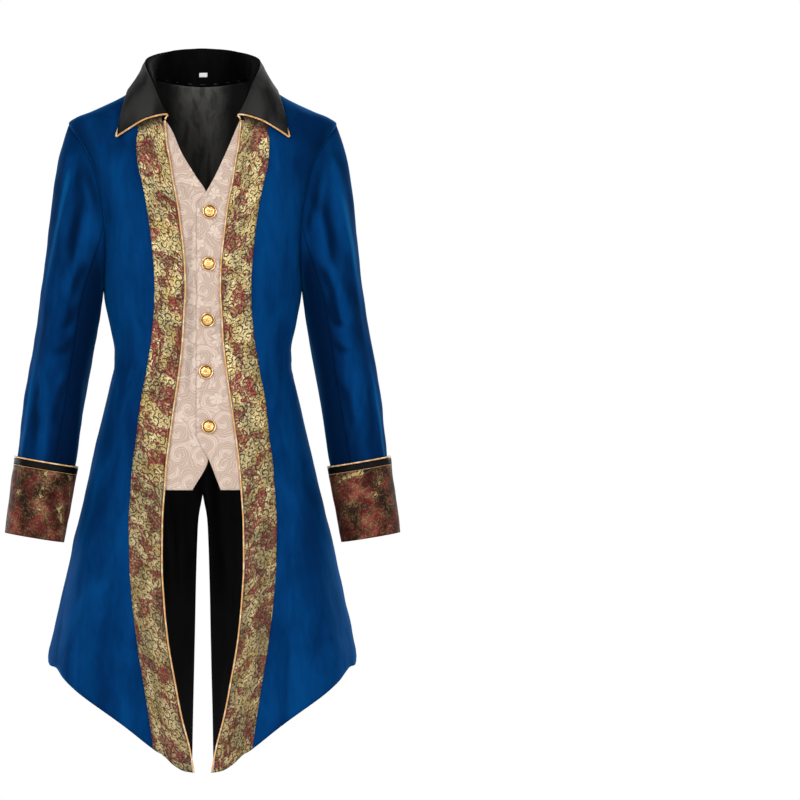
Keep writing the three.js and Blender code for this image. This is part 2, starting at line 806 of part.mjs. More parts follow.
function collarPiping() {
  const normals = collarNormals();
  const last = COLLAR_GRID.length - 1;
  const reach = PIPING_R + 0.9;
  const line = [];
  const add = (i, j, i2, j2) => {
    const p = COLLAR_GRID[i][j];
    const out = p.clone().sub(COLLAR_GRID[i2][j2]).normalize();
    line.push(p.clone().addScaledVector(out, reach).addScaledVector(normals[i][j], -SATIN / 2));
    return out;
  };
  const corner = (i, i2) => {
    const p = COLLAR_GRID[i][8];
    const a = p.clone().sub(COLLAR_GRID[i][7]).normalize();
    const b = p.clone().sub(COLLAR_GRID[i2][8]).normalize();
    const q = p.clone().addScaledVector(a, reach * 0.9).addScaledVector(b, reach * 0.9);
    line.push(q.addScaledVector(normals[i][8], -SATIN / 2));
  };
  for (let j = 5; j <= 7; j += 1) add(0, j, 1, j);
  corner(0, 1);
  for (let i = 1; i < last; i += 1) add(i, 8, i, 7);
  corner(last, last - 1);
  for (let j = 7; j >= 5; j -= 1) add(last, j, last - 1, j);
  return cord(line, PIPING_R, 60, 5);
}

// False waistcoat panel under the front edges
function vestPanel(side, depth) {
  const column = side > 0 ? 1 : 2;
  const inner = curve(VEST, column);
  const heights = [-50, -65, -82, -99, -118, -136, -161, -184];
  for (let z = -212; z > -520; z -= 27) heights.push(z);
  heights.push(-532, -551, -570, -594, -618);
  const points = [];
  const normals = [];
  for (const z of heights) {
    const p = [];
    const n = [];
    const from = inner(z);
    const to = side * (edgeX(z) + 9);
    for (let j = 0; j <= 6; j += 1) {
      const x = mix(from, to, j / 6);
      const theta = angleAt(Math.abs(x), z);
      const normal = mirrored(formNormal(theta, z), x < 0 ? -1 : 1);
      p.push(mirrored(form(theta, z), x < 0 ? -1 : 1).addScaledVector(normal, -depth));
      n.push(normal);
    }
    points.push(p);
    normals.push(n);
  }
  return sheet(points, normals, VEST_CLOTH);
}

// Domed button with a raised rim, its axis along +Y
function buttonShape() {
  const r = BUTTON_R;
  const profile = [
    [0, 0],
    [r * 0.8, 0],
    [r * 0.98, 1],
    [r, 2],
    [r * 0.95, 2.7],
    [r * 0.84, 2.5],
    [r * 0.78, 2.9],
    [r * 0.45, 4.6],
    [0, 5.3],
  ];
  return new THREE.LatheGeometry(profile.map(([x, y]) => new THREE.Vector2(x, y)), 16);
}

// Materials
const material = (color, roughness, metalness = 0) => new THREE.MeshStandardMaterial({
  color,
  roughness,
  metalness,
  side: THREE.DoubleSide,
});
const velvet = material(0x07457a, 0.85);
const satin = material(0x15151a, 0.4);
const brocade = material(0xb49e6c, 0.5);
const cuffCloth = material(0x6e4b41, 0.5);
const jacquard = material(0xe6d0be, 0.55);
const goldCord = material(0xb08a4c, 0.45);
const gold = material(0xd9a441, 0.25, 1);
const tape = material(0xf2f2ee, 0.7);

const coat = new THREE.Group();
coat.name = 'tailcoat';

function add(name, geometry, look) {
  const mesh = new THREE.Mesh(geometry, look);
  mesh.name = name;
  coat.add(mesh);
  return mesh;
}

const back = backSheet(0, VELVET);
add('back', back, velvet);
add('back_lining', backSheet(-VELVET - LIFT, LINING), satin);

for (const [label, side] of [['left', 1], ['right', -1]]) {
  const { points, normals } = onForm(FRONT, side);
  add(`front_${label}`, sheet(points, normals, VELVET), velvet);
  const bandNormals = normals.map((row) => row.slice(0, BAND_COLUMN + 1));
  bandNormals[0] = bandNormals[0].map((n, j) => (
    n.clone().lerp(normals[1][j], BAND_TOP[j][0]).normalize()));
  const bandPoints = bandNormals.map((row, i) => row.map((n, j) => {
    const top = i === 0 ? BAND_TOP[j] : [0, 0];
    const q = i === 0 ? points[0][j].clone().lerp(points[1][j], top[0]) : points[i][j].clone();
    return q.addScaledVector(n, LIFT + BROCADE + top[1]);
  }));
  add(`band_${label}`, sheet(bandPoints, bandNormals, BROCADE), brocade);
  add(`front_piping_${label}`, frontPiping(side), goldCord);
  add(`sleeve_upper_${label}`, sleevePiece(-6, 6, side), velvet);
  add(`sleeve_under_${label}`, sleevePiece(6, 14, side), velvet);
  add(`cuff_${label}`, cuffStrip(CUFF_BOTTOM, CUFF_BAND - 0.4, 3, 1.6, side), cuffCloth);
  add(`cuff_band_${label}`, cuffStrip(CUFF_BAND, CUFF_TOP, 1, 1.6, side), satin);
  add(`cuff_piping_${label}`, cuffPiping(side), goldCord);
}

add('vest_left', vestPanel(1, VELVET + 0.6), jacquard);
add('vest_right', vestPanel(-1, VELVET + 0.6 + VEST_CLOTH + 0.5), jacquard);
add('collar', sheet(COLLAR_GRID, collarNormals(), SATIN), satin);
add('collar_piping', collarPiping(), goldCord);

BUTTONS.forEach(([x, z], k) => {
  const button = add(`button_${k + 1}`, buttonShape(), gold);
  const theta = angleAt(x, z);
  const n = formNormal(theta, z);
  const centre = form(theta, z);
  let bulge = 0;
  for (let a = 0; a < 360; a += 30) {
    const px = x + BUTTON_R * Math.cos(rad(a));
    const pz = z + BUTTON_R * Math.sin(rad(a));
    const rim = mirrored(form(angleAt(Math.abs(px), pz), pz), px < 0 ? -1 : 1);
    bulge = Math.max(bulge, rim.sub(centre).dot(n));
  }
  const seat = centre.addScaledVector(n, bulge - VELVET - 0.6 + 0.45);
  button.position.copy(seat);
  button.quaternion.setFromUnitVectors(vec(0, 1, 0), n);
});

// Blank tape label inside the back of the collar
const label = add('neck_label', new THREE.BoxGeometry(13, 0.6, 7), tape);
label.position.set(0.8, 59.6, 27);

export default coat;
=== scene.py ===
import math

import bpy
import numpy as np
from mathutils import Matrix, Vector


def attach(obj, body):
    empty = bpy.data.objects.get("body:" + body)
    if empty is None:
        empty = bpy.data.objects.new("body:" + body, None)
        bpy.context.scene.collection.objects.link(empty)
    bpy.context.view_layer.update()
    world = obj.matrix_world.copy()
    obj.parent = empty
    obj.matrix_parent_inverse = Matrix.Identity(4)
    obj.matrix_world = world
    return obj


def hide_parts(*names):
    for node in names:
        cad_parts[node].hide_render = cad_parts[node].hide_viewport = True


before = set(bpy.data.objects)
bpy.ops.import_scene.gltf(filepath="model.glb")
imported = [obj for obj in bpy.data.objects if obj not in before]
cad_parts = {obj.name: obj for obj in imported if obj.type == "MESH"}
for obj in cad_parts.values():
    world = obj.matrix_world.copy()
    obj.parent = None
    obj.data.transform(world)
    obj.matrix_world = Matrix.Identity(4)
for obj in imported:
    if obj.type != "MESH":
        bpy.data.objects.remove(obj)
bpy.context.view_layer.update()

# Sizes in millimetres, as in the part: heights, half widths and depths of the worn form
MM = 0.001
SQUARE = 0.8
ROWS = 28
ARM_ROWS = 10
SIDE_ROWS = 18
NECK_FRONT = -40
FRONT_TIP = -1048
VENT_TOP = -628
SIDE_HEM = -800
UNDERARM = -303
# Height, half width, depth in front and depth behind of the worn form
BODY = [
    [28, 65, 45, 50], [14, 86, 54, 62], [0, 109, 60, 69], [-15.5, 134, 66, 76],
    [-34, 173, 72, 85], [-43, 196, 75, 89], [-53, 208, 79, 92], [-74, 202, 86, 98],
    [-110, 189, 97, 106], [-160, 175, 107, 110], [-200, 168, 112, 112],
    [-250, 159, 111, 108], [-325, 152, 107, 100], [-375, 142, 100, 90],
    [-406, 137, 98, 86], [-431, 138, 99, 88], [-468, 147, 101, 95], [-505, 156, 104, 103],
    [-558, 168, 109, 113], [-617, 180, 114, 121], [-691, 197, 120, 128],
    [-766, 213, 127, 135], [-840, 230, 134, 142], [-883, 239.5, 138, 146],
    [-960, 246, 143, 152], [-1060, 250, 148, 158],
]
# Height, half width of the front edge and half width at the brocade's outer edge
OPENING = [
    [8, 64, 99], [-40, 61, 102], [-85, 57.4, 101.9], [-115, 52, 100], [-139, 48.7, 94.6],
    [-177, 41.2, 87], [-211, 36.4, 81.6], [-279, 29.6, 75], [-313, 28.8, 73.6],
    [-346, 30.8, 74.7], [-386, 32.9, 78.9], [-412, 35.5, 83], [-453, 40.6, 90],
    [-493, 46.7, 96.7], [-538, 52.9, 101.5], [-578, 58.1, 106.9], [-618, 61.2, 109.8],
    [-668, 64.5, 112.7], [-732, 65.3, 112.4], [-790, 62.2, 108.8], [-851, 55.8, 102],
    [-905, 46.2, 93.6], [-964, 34.6, 84], [-1010, 22.5, 77.5], [-1050, 15, 70],
]
# Height, angle of the armhole in front and angle behind
ARMHOLE = [
    [-53, 90, 90], [-74, 73, 106], [-116, 63.5, 118], [-160, 62.5, 119.5],
    [-194, 62.5, 119.5], [-248, 69, 115], [-285, 80, 106], [-303, 95, 95],
]
# Half width and height of the back's hem, and height and half width of its slit
BACK_HEM = [
    [17, -1052], [65, -1007], [97, -971], [128, -934], [155, -897], [182, -860],
    [205, -824], [216, -803], [240, -790],
]
VENT = [
    [-628, 0], [-645, 4.6], [-693, 8.2], [-770, 10.6], [-880, 13], [-990, 15.4],
    [-1052, 16.5],
]
BACK_GUIDE = [[23, 72], [-60, 76], [-300, 72], [-406, 64], [-621, 80], [-971, 97]]
# Height, half width and half depth of the sleeve form
SLEEVE = [
    [-338, 47.4, 64], [-450, 47, 59], [-560, 46, 54], [-582, 45.2, 51.5], [-693, 44.4, 48.5],
]
SLEEVE_X, SLEEVE_TOP, SLEEVE_END = 204.6, -338, -690.5
SLEEVE_SLOPE, SLEEVE_FORWARD, SECTION_TILT = 0.1565, -20, 9.5
STEP = 18
CUFF_BOTTOM, CUFF_BAND, CUFF_TOP = -692.5, -587.5, -578
CUFF_START, CUFF_COLUMNS, CUFF_LAP = 252, 22, 3.1
VELVET, LINING, BROCADE, VEST_CLOTH, SATIN = 2.0, 0.9, 1.0, 1.2, 1.6
PIPING_R, LIFT = 1.4, 0.4
# Share of the neck line, rise of the crest (out, up), middle of the fall, edge of the fall
COLLAR = [
    [0, 31, 41, 0, 80, 37, 0, 80, 4], [0.25, 31, 42, 66, 63, 34, 71, 64, 2],
    [0.5714, 32, 7, 97, 0, 31, 107, 0, 6], [0.714, 24, 2, 106, -54, -1, 118, -46, -20],
    [0.857, 13, 2, 98, -76, -29, 126, -66, -48], [0.93, 8, 3, 94, -79, -40, 129, -72, -61],
    [1, 3.2, 6, 93, -80, -49, 131, -80, -73],
]
# Heights of the collar's crest at these distances from the middle
CREST = [[0, 20, 40, 60, 72, 84], [69, 68, 65.6, 61.5, 57.5, 50]]
# Height and inner edge of the waistcoat's left and right fronts
VEST = [
    [-50, 57, -57], [-65, 50.5, -47.5], [-99, 36, -33], [-136, 19, -11], [-161, 5, 5],
    [-184, -9.6, 10], [-532, -10, 10], [-570, 8.5, 8.5], [-618, 27.6, -16],
]
BUTTONS = [[10.4, -192], [8.8, -272], [7.1, -358], [4.7, -437], [9.1, -521]]
BUTTON_R = 11.2
NECK_COLUMN, BAND_COLUMN, FRONT_COLUMNS = 3, 4, 12
BACK_NECK, BACK_COLUMNS, VENT_ROW = 4, 9, 17
NECK_FRONT_LINE = [[61, -40], [68.5, -17], [74.5, 5], [72, 23], [100, 6]]
NECK_BACK_LINE = [[0, 14], [21, 15], [41, 17.5], [59, 20.5], [72, 23]]
HEM_ANGLES = [13.4, 24, 35, 47, 59, 72, 88, 96, 104]
BAND_TOP = [[0.2, 0.2], [0.45, 0.4], [0.8, 1.4], [0.95, 2.6], [0.9, 1.4]]
CAP_FINE, ARM_FINE, ARM_SQUARE, COLUMN_GAP = 34, 60, 0.92, 0.014
# Where the panels end: the back's tip and corner, the brocade's hem, the side seam
BACK_TIP, TAIL_CORNER, BAND_HEM, SIDE_ANGLE, SEAM_GAP = -1052, (97, -971), -1013, 104, 0.1
# Waistcoat: its top, where its fronts cross, where they part, its end, and how far it goes under
VEST_TOP, VEST_CROSS, VEST_SPLIT, VEST_END, VEST_UNDER = -50, -184, -532, -618, 9
CUFF_CLEAR, CUFF_FLARE = 2.2, 2.6
SIDES = (("left", 1), ("right", -1))
METRE = (1000,) * 3
THINNEST_SHEET = 0.0105


def mix(a, b, t):
    return a + (b - a) * t


def between(start, leave, end, arrive, t):
    """Smooth way from start to end that leaves and arrives at the given rates."""
    t2, t3 = t * t, t * t * t
    return (start * (2 * t3 - 3 * t2 + 1) + leave * (t3 - 2 * t2 + t)
            + end * (3 * t2 - 2 * t3) + arrive * (t3 - t2))


def both(a, b):
    """Two numbers or arrays as arrays of one shape."""
    return np.broadcast_arrays(np.asarray(a, float), np.asarray(b, float))


def curve(rows, column):
    """Smooth curve through a table that never overshoots its values."""
    rows = sorted(rows, key=lambda r: r[0])
    x = np.array([r[0] for r in rows], float)
    y = np.array([r[column] for r in rows], float)
    h = np.diff(x)
    slope = np.diff(y) / h
    m = np.zeros(len(x))
    m[0], m[-1] = slope[0], slope[-1]
    for i in range(1, len(x) - 1):
        p = slope[i - 1] * slope[i]
        m[i] = 0 if p <= 0 else 2 * p / (slope[i - 1] + slope[i])

    def at(v):
        v = np.clip(np.asarray(v, float), x[0], x[-1])
        i = np.clip(np.searchsorted(x, v) - 1, 0, len(x) - 2)
        t = (v - x[i]) / h[i]
        return between(y[i], h[i] * m[i], y[i + 1], h[i] * m[i + 1], t)

    return at


half_width, front_depth, back_depth = (curve(BODY, c) for c in (1, 2, 3))
edge_x, band_x = curve(OPENING, 1), curve(OPENING, 2)
back_hem, vent_x, guide_x = curve(BACK_HEM, 1), curve(VENT, 1), curve(BACK_GUIDE, 1)
arm_width, arm_depth = curve(SLEEVE, 1), curve(SLEEVE, 2)


def flute(theta, z):
    grow = np.clip((-450 - z) / 560, 0, 1)
    return 7 * grow * grow * (3 - 2 * grow) * np.sin(np.radians(6 * (theta - 90)))


def form(theta, z):
    """Point of the worn form at an angle from the centre front, on the wearer's left."""
    theta, z = both(theta, z)
    s = np.maximum(np.sin(np.radians(theta)), 0)
    c = np.cos(np.radians(theta))
    depth = np.where(c > 0, front_depth(z), back_depth(z))
    k = flute(theta, z)
    x = half_width(z) * s**SQUARE + k * s
    y = -np.sign(c) * depth * np.abs(c) ** SQUARE - k * c
    return np.stack([x, y, z], -1)


def unit(v):
    return v / np.maximum(np.linalg.norm(v, axis=-1, keepdims=True), 1e-9)


def form_normal(theta, z):
    theta, z = both(theta, z)
    a = form(np.minimum(theta + 0.6, 180), z) - form(np.maximum(theta - 0.6, 0), z)
    b = form(theta, z - 1.5) - form(theta, z + 1.5)
    n = -np.cross(a, b)
    n[..., 0] = np.where((theta < 0.5) | (theta > 179.5), 0, n[..., 0])
    return unit(n)


def angle_at(x, z, behind=False):
    share = np.clip(x / half_width(z), 0, 1)
    t = np.degrees(np.arcsin(share ** (1 / SQUARE)))
    return 180 - t if behind else t


def shoulder(z, behind):
    depth = back_depth(z) if behind else front_depth(z)
    e = math.degrees((0.2 / depth) ** (1 / SQUARE))
    return 90 + e if behind else 90 - e


def side_line(behind):
    column = 2 if behind else 1
    at = [0.0]
    for p, q in zip(ARMHOLE, ARMHOLE[1:]):
        at.append(at[-1] + float(np.linalg.norm(form(q[column], q[0]) - form(p[column], p[0]))))
    rows = [[a / at[-1], r[0], r[column]] for a, r in zip(at, ARMHOLE)]
    z, theta = curve(rows, 1), curve(rows, 2)
    gap = SEAM_GAP if behind else -SEAM_GAP
    line = [[float(theta(i / ARM_ROWS)), float(z(i / ARM_ROWS))] for i in range(ARM_ROWS + 1)]
    line[0][0] = shoulder(line[0][1], behind)
    line[ARM_ROWS][0] += gap
    for i in range(1, SIDE_ROWS + 1):
        t = i / SIDE_ROWS
        line.append([mix(95, SIDE_ANGLE, t) + gap, mix(UNDERARM, SIDE_HEM, t)])
    return line


FRONT_SIDE, BACK_SIDE = side_line(False), side_line(True)


def split_row(i, top, middle, bottom):
    if i <= ARM_ROWS:
        return mix(top, middle, i / ARM_ROWS)
    return mix(middle, bottom, (i - ARM_ROWS) / SIDE_ROWS)


def front_hem(theta):
    if theta >= 88:
        t = (theta - 88) / 16
        return mix(-886, SIDE_HEM, t * t * (3 - 2 * t) * 0.4 + t * 0.6)
    z = -960.0
    for _ in range(40):
        x = float(half_width(z)) * math.sin(math.radians(theta)) ** SQUARE
        z = mix(z, -1056 + 0.78 * (x - 22), 0.6)
    return z


def back_centre(i):
    if i <= ARM_ROWS:
        return mix(14, -310, i / ARM_ROWS)
    if i <= VENT_ROW:
        return mix(-310, VENT_TOP, (i - ARM_ROWS) / (VENT_ROW - ARM_ROWS))
    return mix(VENT_TOP, BACK_TIP, (i - VENT_ROW) / (ROWS - VENT_ROW))


def hem_height(theta):
    z = -900.0
    for _ in range(40):
        z = mix(z, float(back_hem(half_width(z) * math.sin(math.radians(theta)) ** SQUARE)), 0.5)
    return z


def panel_grid(behind):
    """Angles and heights of a front, or of half the back, from the middle out to the side."""
    inner, columns = (BACK_NECK, BACK_COLUMNS) if behind else (BAND_COLUMN, FRONT_COLUMNS)
    neck, neck_rows = (NECK_BACK_LINE, 4) if behind else (NECK_FRONT_LINE, 5)
    neck_column, side = (BACK_NECK, BACK_SIDE) if behind else (NECK_COLUMN, FRONT_SIDE)
    grid = np.zeros((ROWS + 1, columns + 1, 2))
    span = columns - inner
    hem_start = float(angle_at(*TAIL_CORNER, True))
    for i in range(ROWS + 1):
        top = max(0, 1 - i / neck_rows) ** 2
        hem = max(0, 1 - (ROWS - i) / 8) ** 2
        if behind:
            z0, z1 = back_centre(i), split_row(i, 23, -305, TAIL_CORNER[1])
            x0, x1 = float(vent_x(z0)) if i > VENT_ROW else 0, float(guide_x(z1))
        else:
            z0, z1 = split_row(i, NECK_FRONT, -310, FRONT_TIP), split_row(i, 6, -300, BAND_HEM)
            x0, x1 = float(edge_x(z0)), float(band_x(z1))
        for j in range(inner + 1):
            t = j / inner
            x = mix(x0, x1, t) + top * (neck[j][0] - mix(neck[0][0], neck[inner][0], t))
            z = mix(z0, z1, t) + top * (neck[j][1] - mix(neck[0][1], neck[inner][1], t))
            if behind:
                z += hem * (float(back_hem(x)) - mix(BACK_TIP, TAIL_CORNER[1], t)) * (0 < j < inner)
            else:
                z -= hem * 6.4 * math.sin(math.pi * min(t * 1.4, 1)) * (t < 1)
            on_shoulder = i == 0 and j >= neck_column
            grid[i, j] = shoulder(z, behind) if on_shoulder else float(angle_at(x, z, behind)), z
        for j in range(1, span + 1):
            t = j / span
            theta, z = mix(grid[i, inner], np.array(side[i]), t)
            if i == 0:
                theta = shoulder(z, behind)
            if behind:
                hem_z = hem_height(mix(hem_start, SIDE_ANGLE + SEAM_GAP, t))
                flat_z = mix(TAIL_CORNER[1], SIDE_HEM, t)
            else:
                last = SIDE_ANGLE - SEAM_GAP
                hem_theta = min(HEM_ANGLES[j], last)
                theta += hem * (hem_theta - mix(HEM_ANGLES[0], last, t))
                hem_z, flat_z = front_hem(hem_theta), mix(BAND_HEM, SIDE_HEM, t)
            grid[i, inner + j] = theta, z + hem * (hem_z - flat_z) * (j < span)
    return grid


def finer(grid, n, axis=0):
    """The grid with n steps in place of one along an axis, on smooth curves through its rows."""
    g = np.moveaxis(np.asarray(grid, float), axis, 0)
    count = len(g)
    at = np.linspace(0, count - 1, (count - 1) * n + 1)
    i = np.clip(at.astype(int), 0, count - 2)
    t = (at - i).reshape((-1,) + (1,) * (g.ndim - 1))
    p1, p2 = g[i], g[i + 1]
    p0 = np.where((i > 0).reshape(t.shape), g[np.maximum(i - 1, 0)], 2 * p1 - p2)
    p3 = np.where((i < count - 2).reshape(t.shape), g[np.minimum(i + 2, count - 1)], 2 * p2 - p1)
    out = 0.5 * (2 * p1 + (p2 - p0) * t + (2 * p0 - 5 * p1 + 4 * p2 - p3) * t**2
                 + (3 * p1 - p0 - 3 * p2 + p3) * t**3)
    return np.moveaxis(out, 0, axis)


FRONT, BACK = panel_grid(False), panel_grid(True)
FINE = 4


def soft(v, seed, size):
    """Smooth seeded unevenness of a point set, from about -1 to 1."""
    r = np.random.default_rng(seed)
    total = np.zeros(v.shape[:-1])
    for _ in range(6):
        d = r.normal(size=3)
        d /= np.linalg.norm(d)
        total += np.sin(v @ d * (2 * math.pi / size) * r.uniform(0.6, 1.7) + r.uniform(0, 6.28))
    return total / 3


def gentle(v, low, high):
    t = np.clip((v - low) / (high - low), 0, 1)
    return t * t * (3 - 2 * t)


def bell(v, centre, width):
    return np.exp(-(((v - centre) / width) ** 2))


def runs(points, axis=0):
    """Distance along a line, or along one axis of a grid, from its first point."""
    steps = np.linalg.norm(np.diff(points, axis=axis), axis=-1)
    return np.concatenate([0 * steps.take([0], axis), np.cumsum(steps, axis)], axis)


def creases(rows, place):
    """Rows of picture places x, y, x, y ..., a depth and a width become lines in millimetres."""
    return [([place(x, y) for x, y in zip(r[:-2:2], r[1:-2:2])], r[-2], r[-1]) for r in rows]


def front_place(px, py):
    return (px - 202.5) * 1.55, (90 - py) * 1.55


def back_place(px, py):
    return (598.7 - px) * 1.532, 65 - (py - 40) * 1.532


def crease(points, line, depth, width):
    """Soft trough (or ridge, with depth below 0) along a line of x and z places."""
    p = points[..., [0, 2]]
    line = np.asarray(line, float)
    lengths = np.linalg.norm(np.diff(line, axis=0), axis=1)
    best = np.full(p.shape[:-1], 1e9)
    where = np.zeros(p.shape[:-1])
    run = 0.0
    for a, b, length in zip(line, line[1:], lengths):
        t = np.clip(((p - a) @ (b - a)) / length**2, 0, 1)
        d = np.linalg.norm(p - (a + t[..., None] * (b - a)), axis=-1)
        where = np.where(d < best, (run + t * length) / lengths.sum(), where)
        best = np.minimum(best, d)
        run += length
    ramp = gentle(where, 0, 0.25) * gentle(1 - where, 0, 0.25)
    return -depth * ramp * (bell(best, 0, width) - 0.35 * bell(best, 2.1 * width, width))


def add_creases(total, points, lines, share=1.0):
    for line, depth, width in lines:
        total = total + crease(points, line, depth, width) * share
    return total


# Pieces of cloth


def arcs(points, side=1, across=0.0, down=0.0):
    """Distances across and down a grid of points, in metres, for weaves that follow the cloth."""
    rows = runs(points, 0).mean(1, keepdims=True) + 0 * points[..., 0]
    uv = np.stack([runs(points, 1), rows], -1) * MM
    uv[..., 0] *= side
    return uv + [across, down] if side < 0 else uv


def mesh_object(name, vertices, faces, uv=None, materials=(), fold=None):
    """A smooth mesh from points in millimetres."""
    mesh = bpy.data.meshes.new(name)
    mesh.from_pydata([tuple(v) for v in np.asarray(vertices) * MM], [], [tuple(f) for f in faces])
    mesh.update()
    for p in mesh.polygons:
        p.use_smooth = True
    if uv is not None:
        layer = mesh.uv_layers.new(name="cloth")
        loops = np.zeros(len(mesh.loops), np.int32)
        mesh.loops.foreach_get("vertex_index", loops)
        layer.data.foreach_set("uv", np.asarray(uv, np.float32)[loops].ravel())
    # The fold attribute keeps a number for each point, which the materials turn into painted shade
    # and painted highlight.
    if fold is not None:
        mesh.attributes.new("fold", "FLOAT", "POINT").data.foreach_set(
            "value", np.ascontiguousarray(fold, np.float32).ravel())
    o = bpy.data.objects.new(name, mesh)
    bpy.context.collection.objects.link(o)
    for m in materials:
        mesh.materials.append(m)
    return o


def ring_faces(rings, around, base=0):
    """Faces between closed rings of points."""
    i, j = np.meshgrid(np.arange(rings - 1), np.arange(around), indexing="ij")
    a, b = base + i * around + j, base + i * around + (j + 1) % around
    return np.stack([a, b, b + around, a + around], -1).reshape(-1, 4).tolist()


def cloth(name, points, out, thickness, materials, uv=None, inner=0, fold=None):
    """A grid of points becomes a thin wall of cloth. out is a point grid's outward side."""
    rows, columns = points.shape[:2]
    r, c = rows // 2, columns // 2
    n = np.cross(points[r + 1, c] - points[r, c], points[r, c + 1] - points[r, c])
    i, j = np.meshgrid(np.arange(rows - 1), np.arange(columns - 1), indexing="ij")
    a = i * columns + j
    faces = np.stack([a, a + columns, a + columns + 1, a + 1], -1).reshape(-1, 4)
    if n @ out[r, c] < 0:
        faces = faces[:, ::-1]
    uv = arcs(points) if uv is None else uv
    o = mesh_object(name, points.reshape(-1, 3), faces, uv.reshape(-1, 2), materials, fold)
    return thicken(o, thickness, inner)


def thicken(o, thickness, inner=0):
    s = o.modifiers.new("wall", "SOLIDIFY")
    s.thickness = thickness * MM
    s.offset = -1
    s.use_even_offset = False
    s.material_offset = inner
    s.material_offset_rim = 0
    return o


def mirrored(p, side):
    q = np.array(p, float)
    if side < 0:
        q[..., 0] *= -1
    return q


def declare(o, slot, *nodes):
    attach(o, "root")
    if nodes:
        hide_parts(*nodes)


def sheet_of(o, node, slot):
    """Attaches a cloth piece to the root, hides its part and prints the flat size its weave map
    measures.
    """
    uv = np.zeros(len(o.data.loops) * 2)
    o.data.uv_layers[0].data.foreach_get("uv", uv)
    w, h = np.ptp(uv.reshape(-1, 2), axis=0)
    area = sum(p.area for p in o.data.polygons)
    h = max(h, THINNEST_SHEET)
    w = max(w, area / h)
    declare(o, slot, node)
    print(f"flat {o.name} {w:.3f} x {h:.3f} area {area:.4f}")


# Looks


def sign(op):
    return lambda a, b=0: a.join(op, a, b)


class Value:
    """A number, or a vector or colour, in a node tree. Python's signs add the nodes for sums."""

    def __init__(self, look, socket, vector=False):
        self.look, self.socket, self.vector = look, socket, vector

    def join(self, op, a, b=0.0):
        if not self.vector:
            return self.look.math(op, a, b)
        if op == "MULTIPLY" and not isinstance(b, tuple):
            scaled = self.look.node("VectorMath", {0: a, 3: b}, operation="SCALE")
            return Value(self.look, scaled.outputs[0], True)
        joined = self.look.node("VectorMath", {0: a, 1: b}, operation=op)
        return Value(self.look, joined.outputs[0], True)

    __add__ = __radd__ = sign("ADD")
    __mul__ = __rmul__ = sign("MULTIPLY")
    __sub__, __abs__ = sign("SUBTRACT"), sign("ABSOLUTE")
    __lt__, __gt__ = sign("LESS_THAN"), sign("GREATER_THAN")

    def __rsub__(self, a):
        return self.join("SUBTRACT", a, self)

    def length(self):
        return Value(self.look, self.look.node(
            "VectorMath", {0: self}, operation="LENGTH").outputs[1])

    def parts(self):
        split = self.look.node("SeparateXYZ", {0: self})
        return [Value(self.look, socket) for socket in split.outputs]


class Look:
    """A material's node tree, with short calls for its nodes."""

    def __init__(self, name):
        self.material = bpy.data.materials.new(name)
        self.material.use_nodes = True
        self.tree = self.material.node_tree
        self.tree.nodes.clear()
        out = self.node("OutputMaterial")
        self.bsdf = self.node("BsdfPrincipled")
        self.tree.links.new(self.bsdf.outputs[0], out.inputs[0])

    def node(self, kind, inputs=(), **settings):
        n = self.tree.nodes.new("ShaderNode" + kind)
        for name, value in settings.items():
            setattr(n, name, value)
        for name, value in dict(inputs).items():
            self.put(n.inputs[name], value)
        return n

    def put(self, socket, value):
        if isinstance(value, Value):
            self.tree.links.new(value.socket, socket)
        elif value is not None:
            socket.default_value = value

    def principled(self, **values):
        for name, value in values.items():
            self.put(self.bsdf.inputs[name.replace("_", " ")], value)
        return self.material

    def weave_map(self):
        """Place on the cloth in millimetres."""
        return Value(self, self.node("UVMap").outputs[0], True) * METRE

    def space(self):
        """Place in the room in millimetres."""
        return Value(self, self.node("TexCoord").outputs["Object"], True) * METRE

    def fold(self):
        """Number that mesh_object keeps for each point, from the folds and painted light: the looks
        paint shade where it is low and highlight where it is high.
        """
        return Value(self, self.node("Attribute", attribute_name="fold").outputs["Fac"])

    def math(self, op, a, b=0.0):
        return Value(self, self.node("Math", {0: a, 1: b}, operation=op).outputs[0])

    def most(self, a, b):
        return self.math("MAXIMUM", a, b)

    def ribs(self, v, pitch):
        return abs(self.math("SINE", v * (math.pi / pitch)))

    def noise(self, v, scale, detail=3.0, rough=0.5, twist=0.0, colour=False):
        n = self.node("TexNoise", {"Vector": v, "Scale": scale, "Detail": detail,
                                   "Roughness": rough, "Distortion": twist})
        return Value(self, n.outputs["Color" if colour else "Fac"], colour)

    def cells(self, v, size, uneven):
        """Centre and random colour of the uneven cell that each place is in."""
        n = self.node("TexVoronoi", voronoi_dimensions="2D")
        self.put(n.inputs["Vector"], v)
        self.put(n.inputs["Scale"], 1.0 / size)
        self.put(n.inputs["Randomness"], uneven)
        return [Value(self, n.outputs[name], True) for name in ("Position", "Color")]

    def step(self, v, low, high, to_low=0.0, to_high=1.0):
        n = self.node("MapRange", {0: v, 1: low, 2: high, 3: to_low, 4: to_high},
                      interpolation_type="SMOOTHSTEP")
        return Value(self, n.outputs[0])

    def blend(self, share, a, b):
        n = self.node("Mix", data_type="RGBA")
        for place, value in ((0, share), (6, a), (7, b)):
            self.put(n.inputs[place], (*value, 1) if isinstance(value, tuple) else value)
        return Value(self, n.outputs[2], True)

    def layers(self, colour, *rows):
        """The colour with others laid over it in turn, each with its share."""
        for share, other in rows:
            colour = self.blend(share, colour, other)
        return colour

    def bump(self, height, distance, strength):
        n = self.node("Bump", {"Strength": strength, "Distance": distance, "Height": height})
        return Value(self, n.outputs[0])


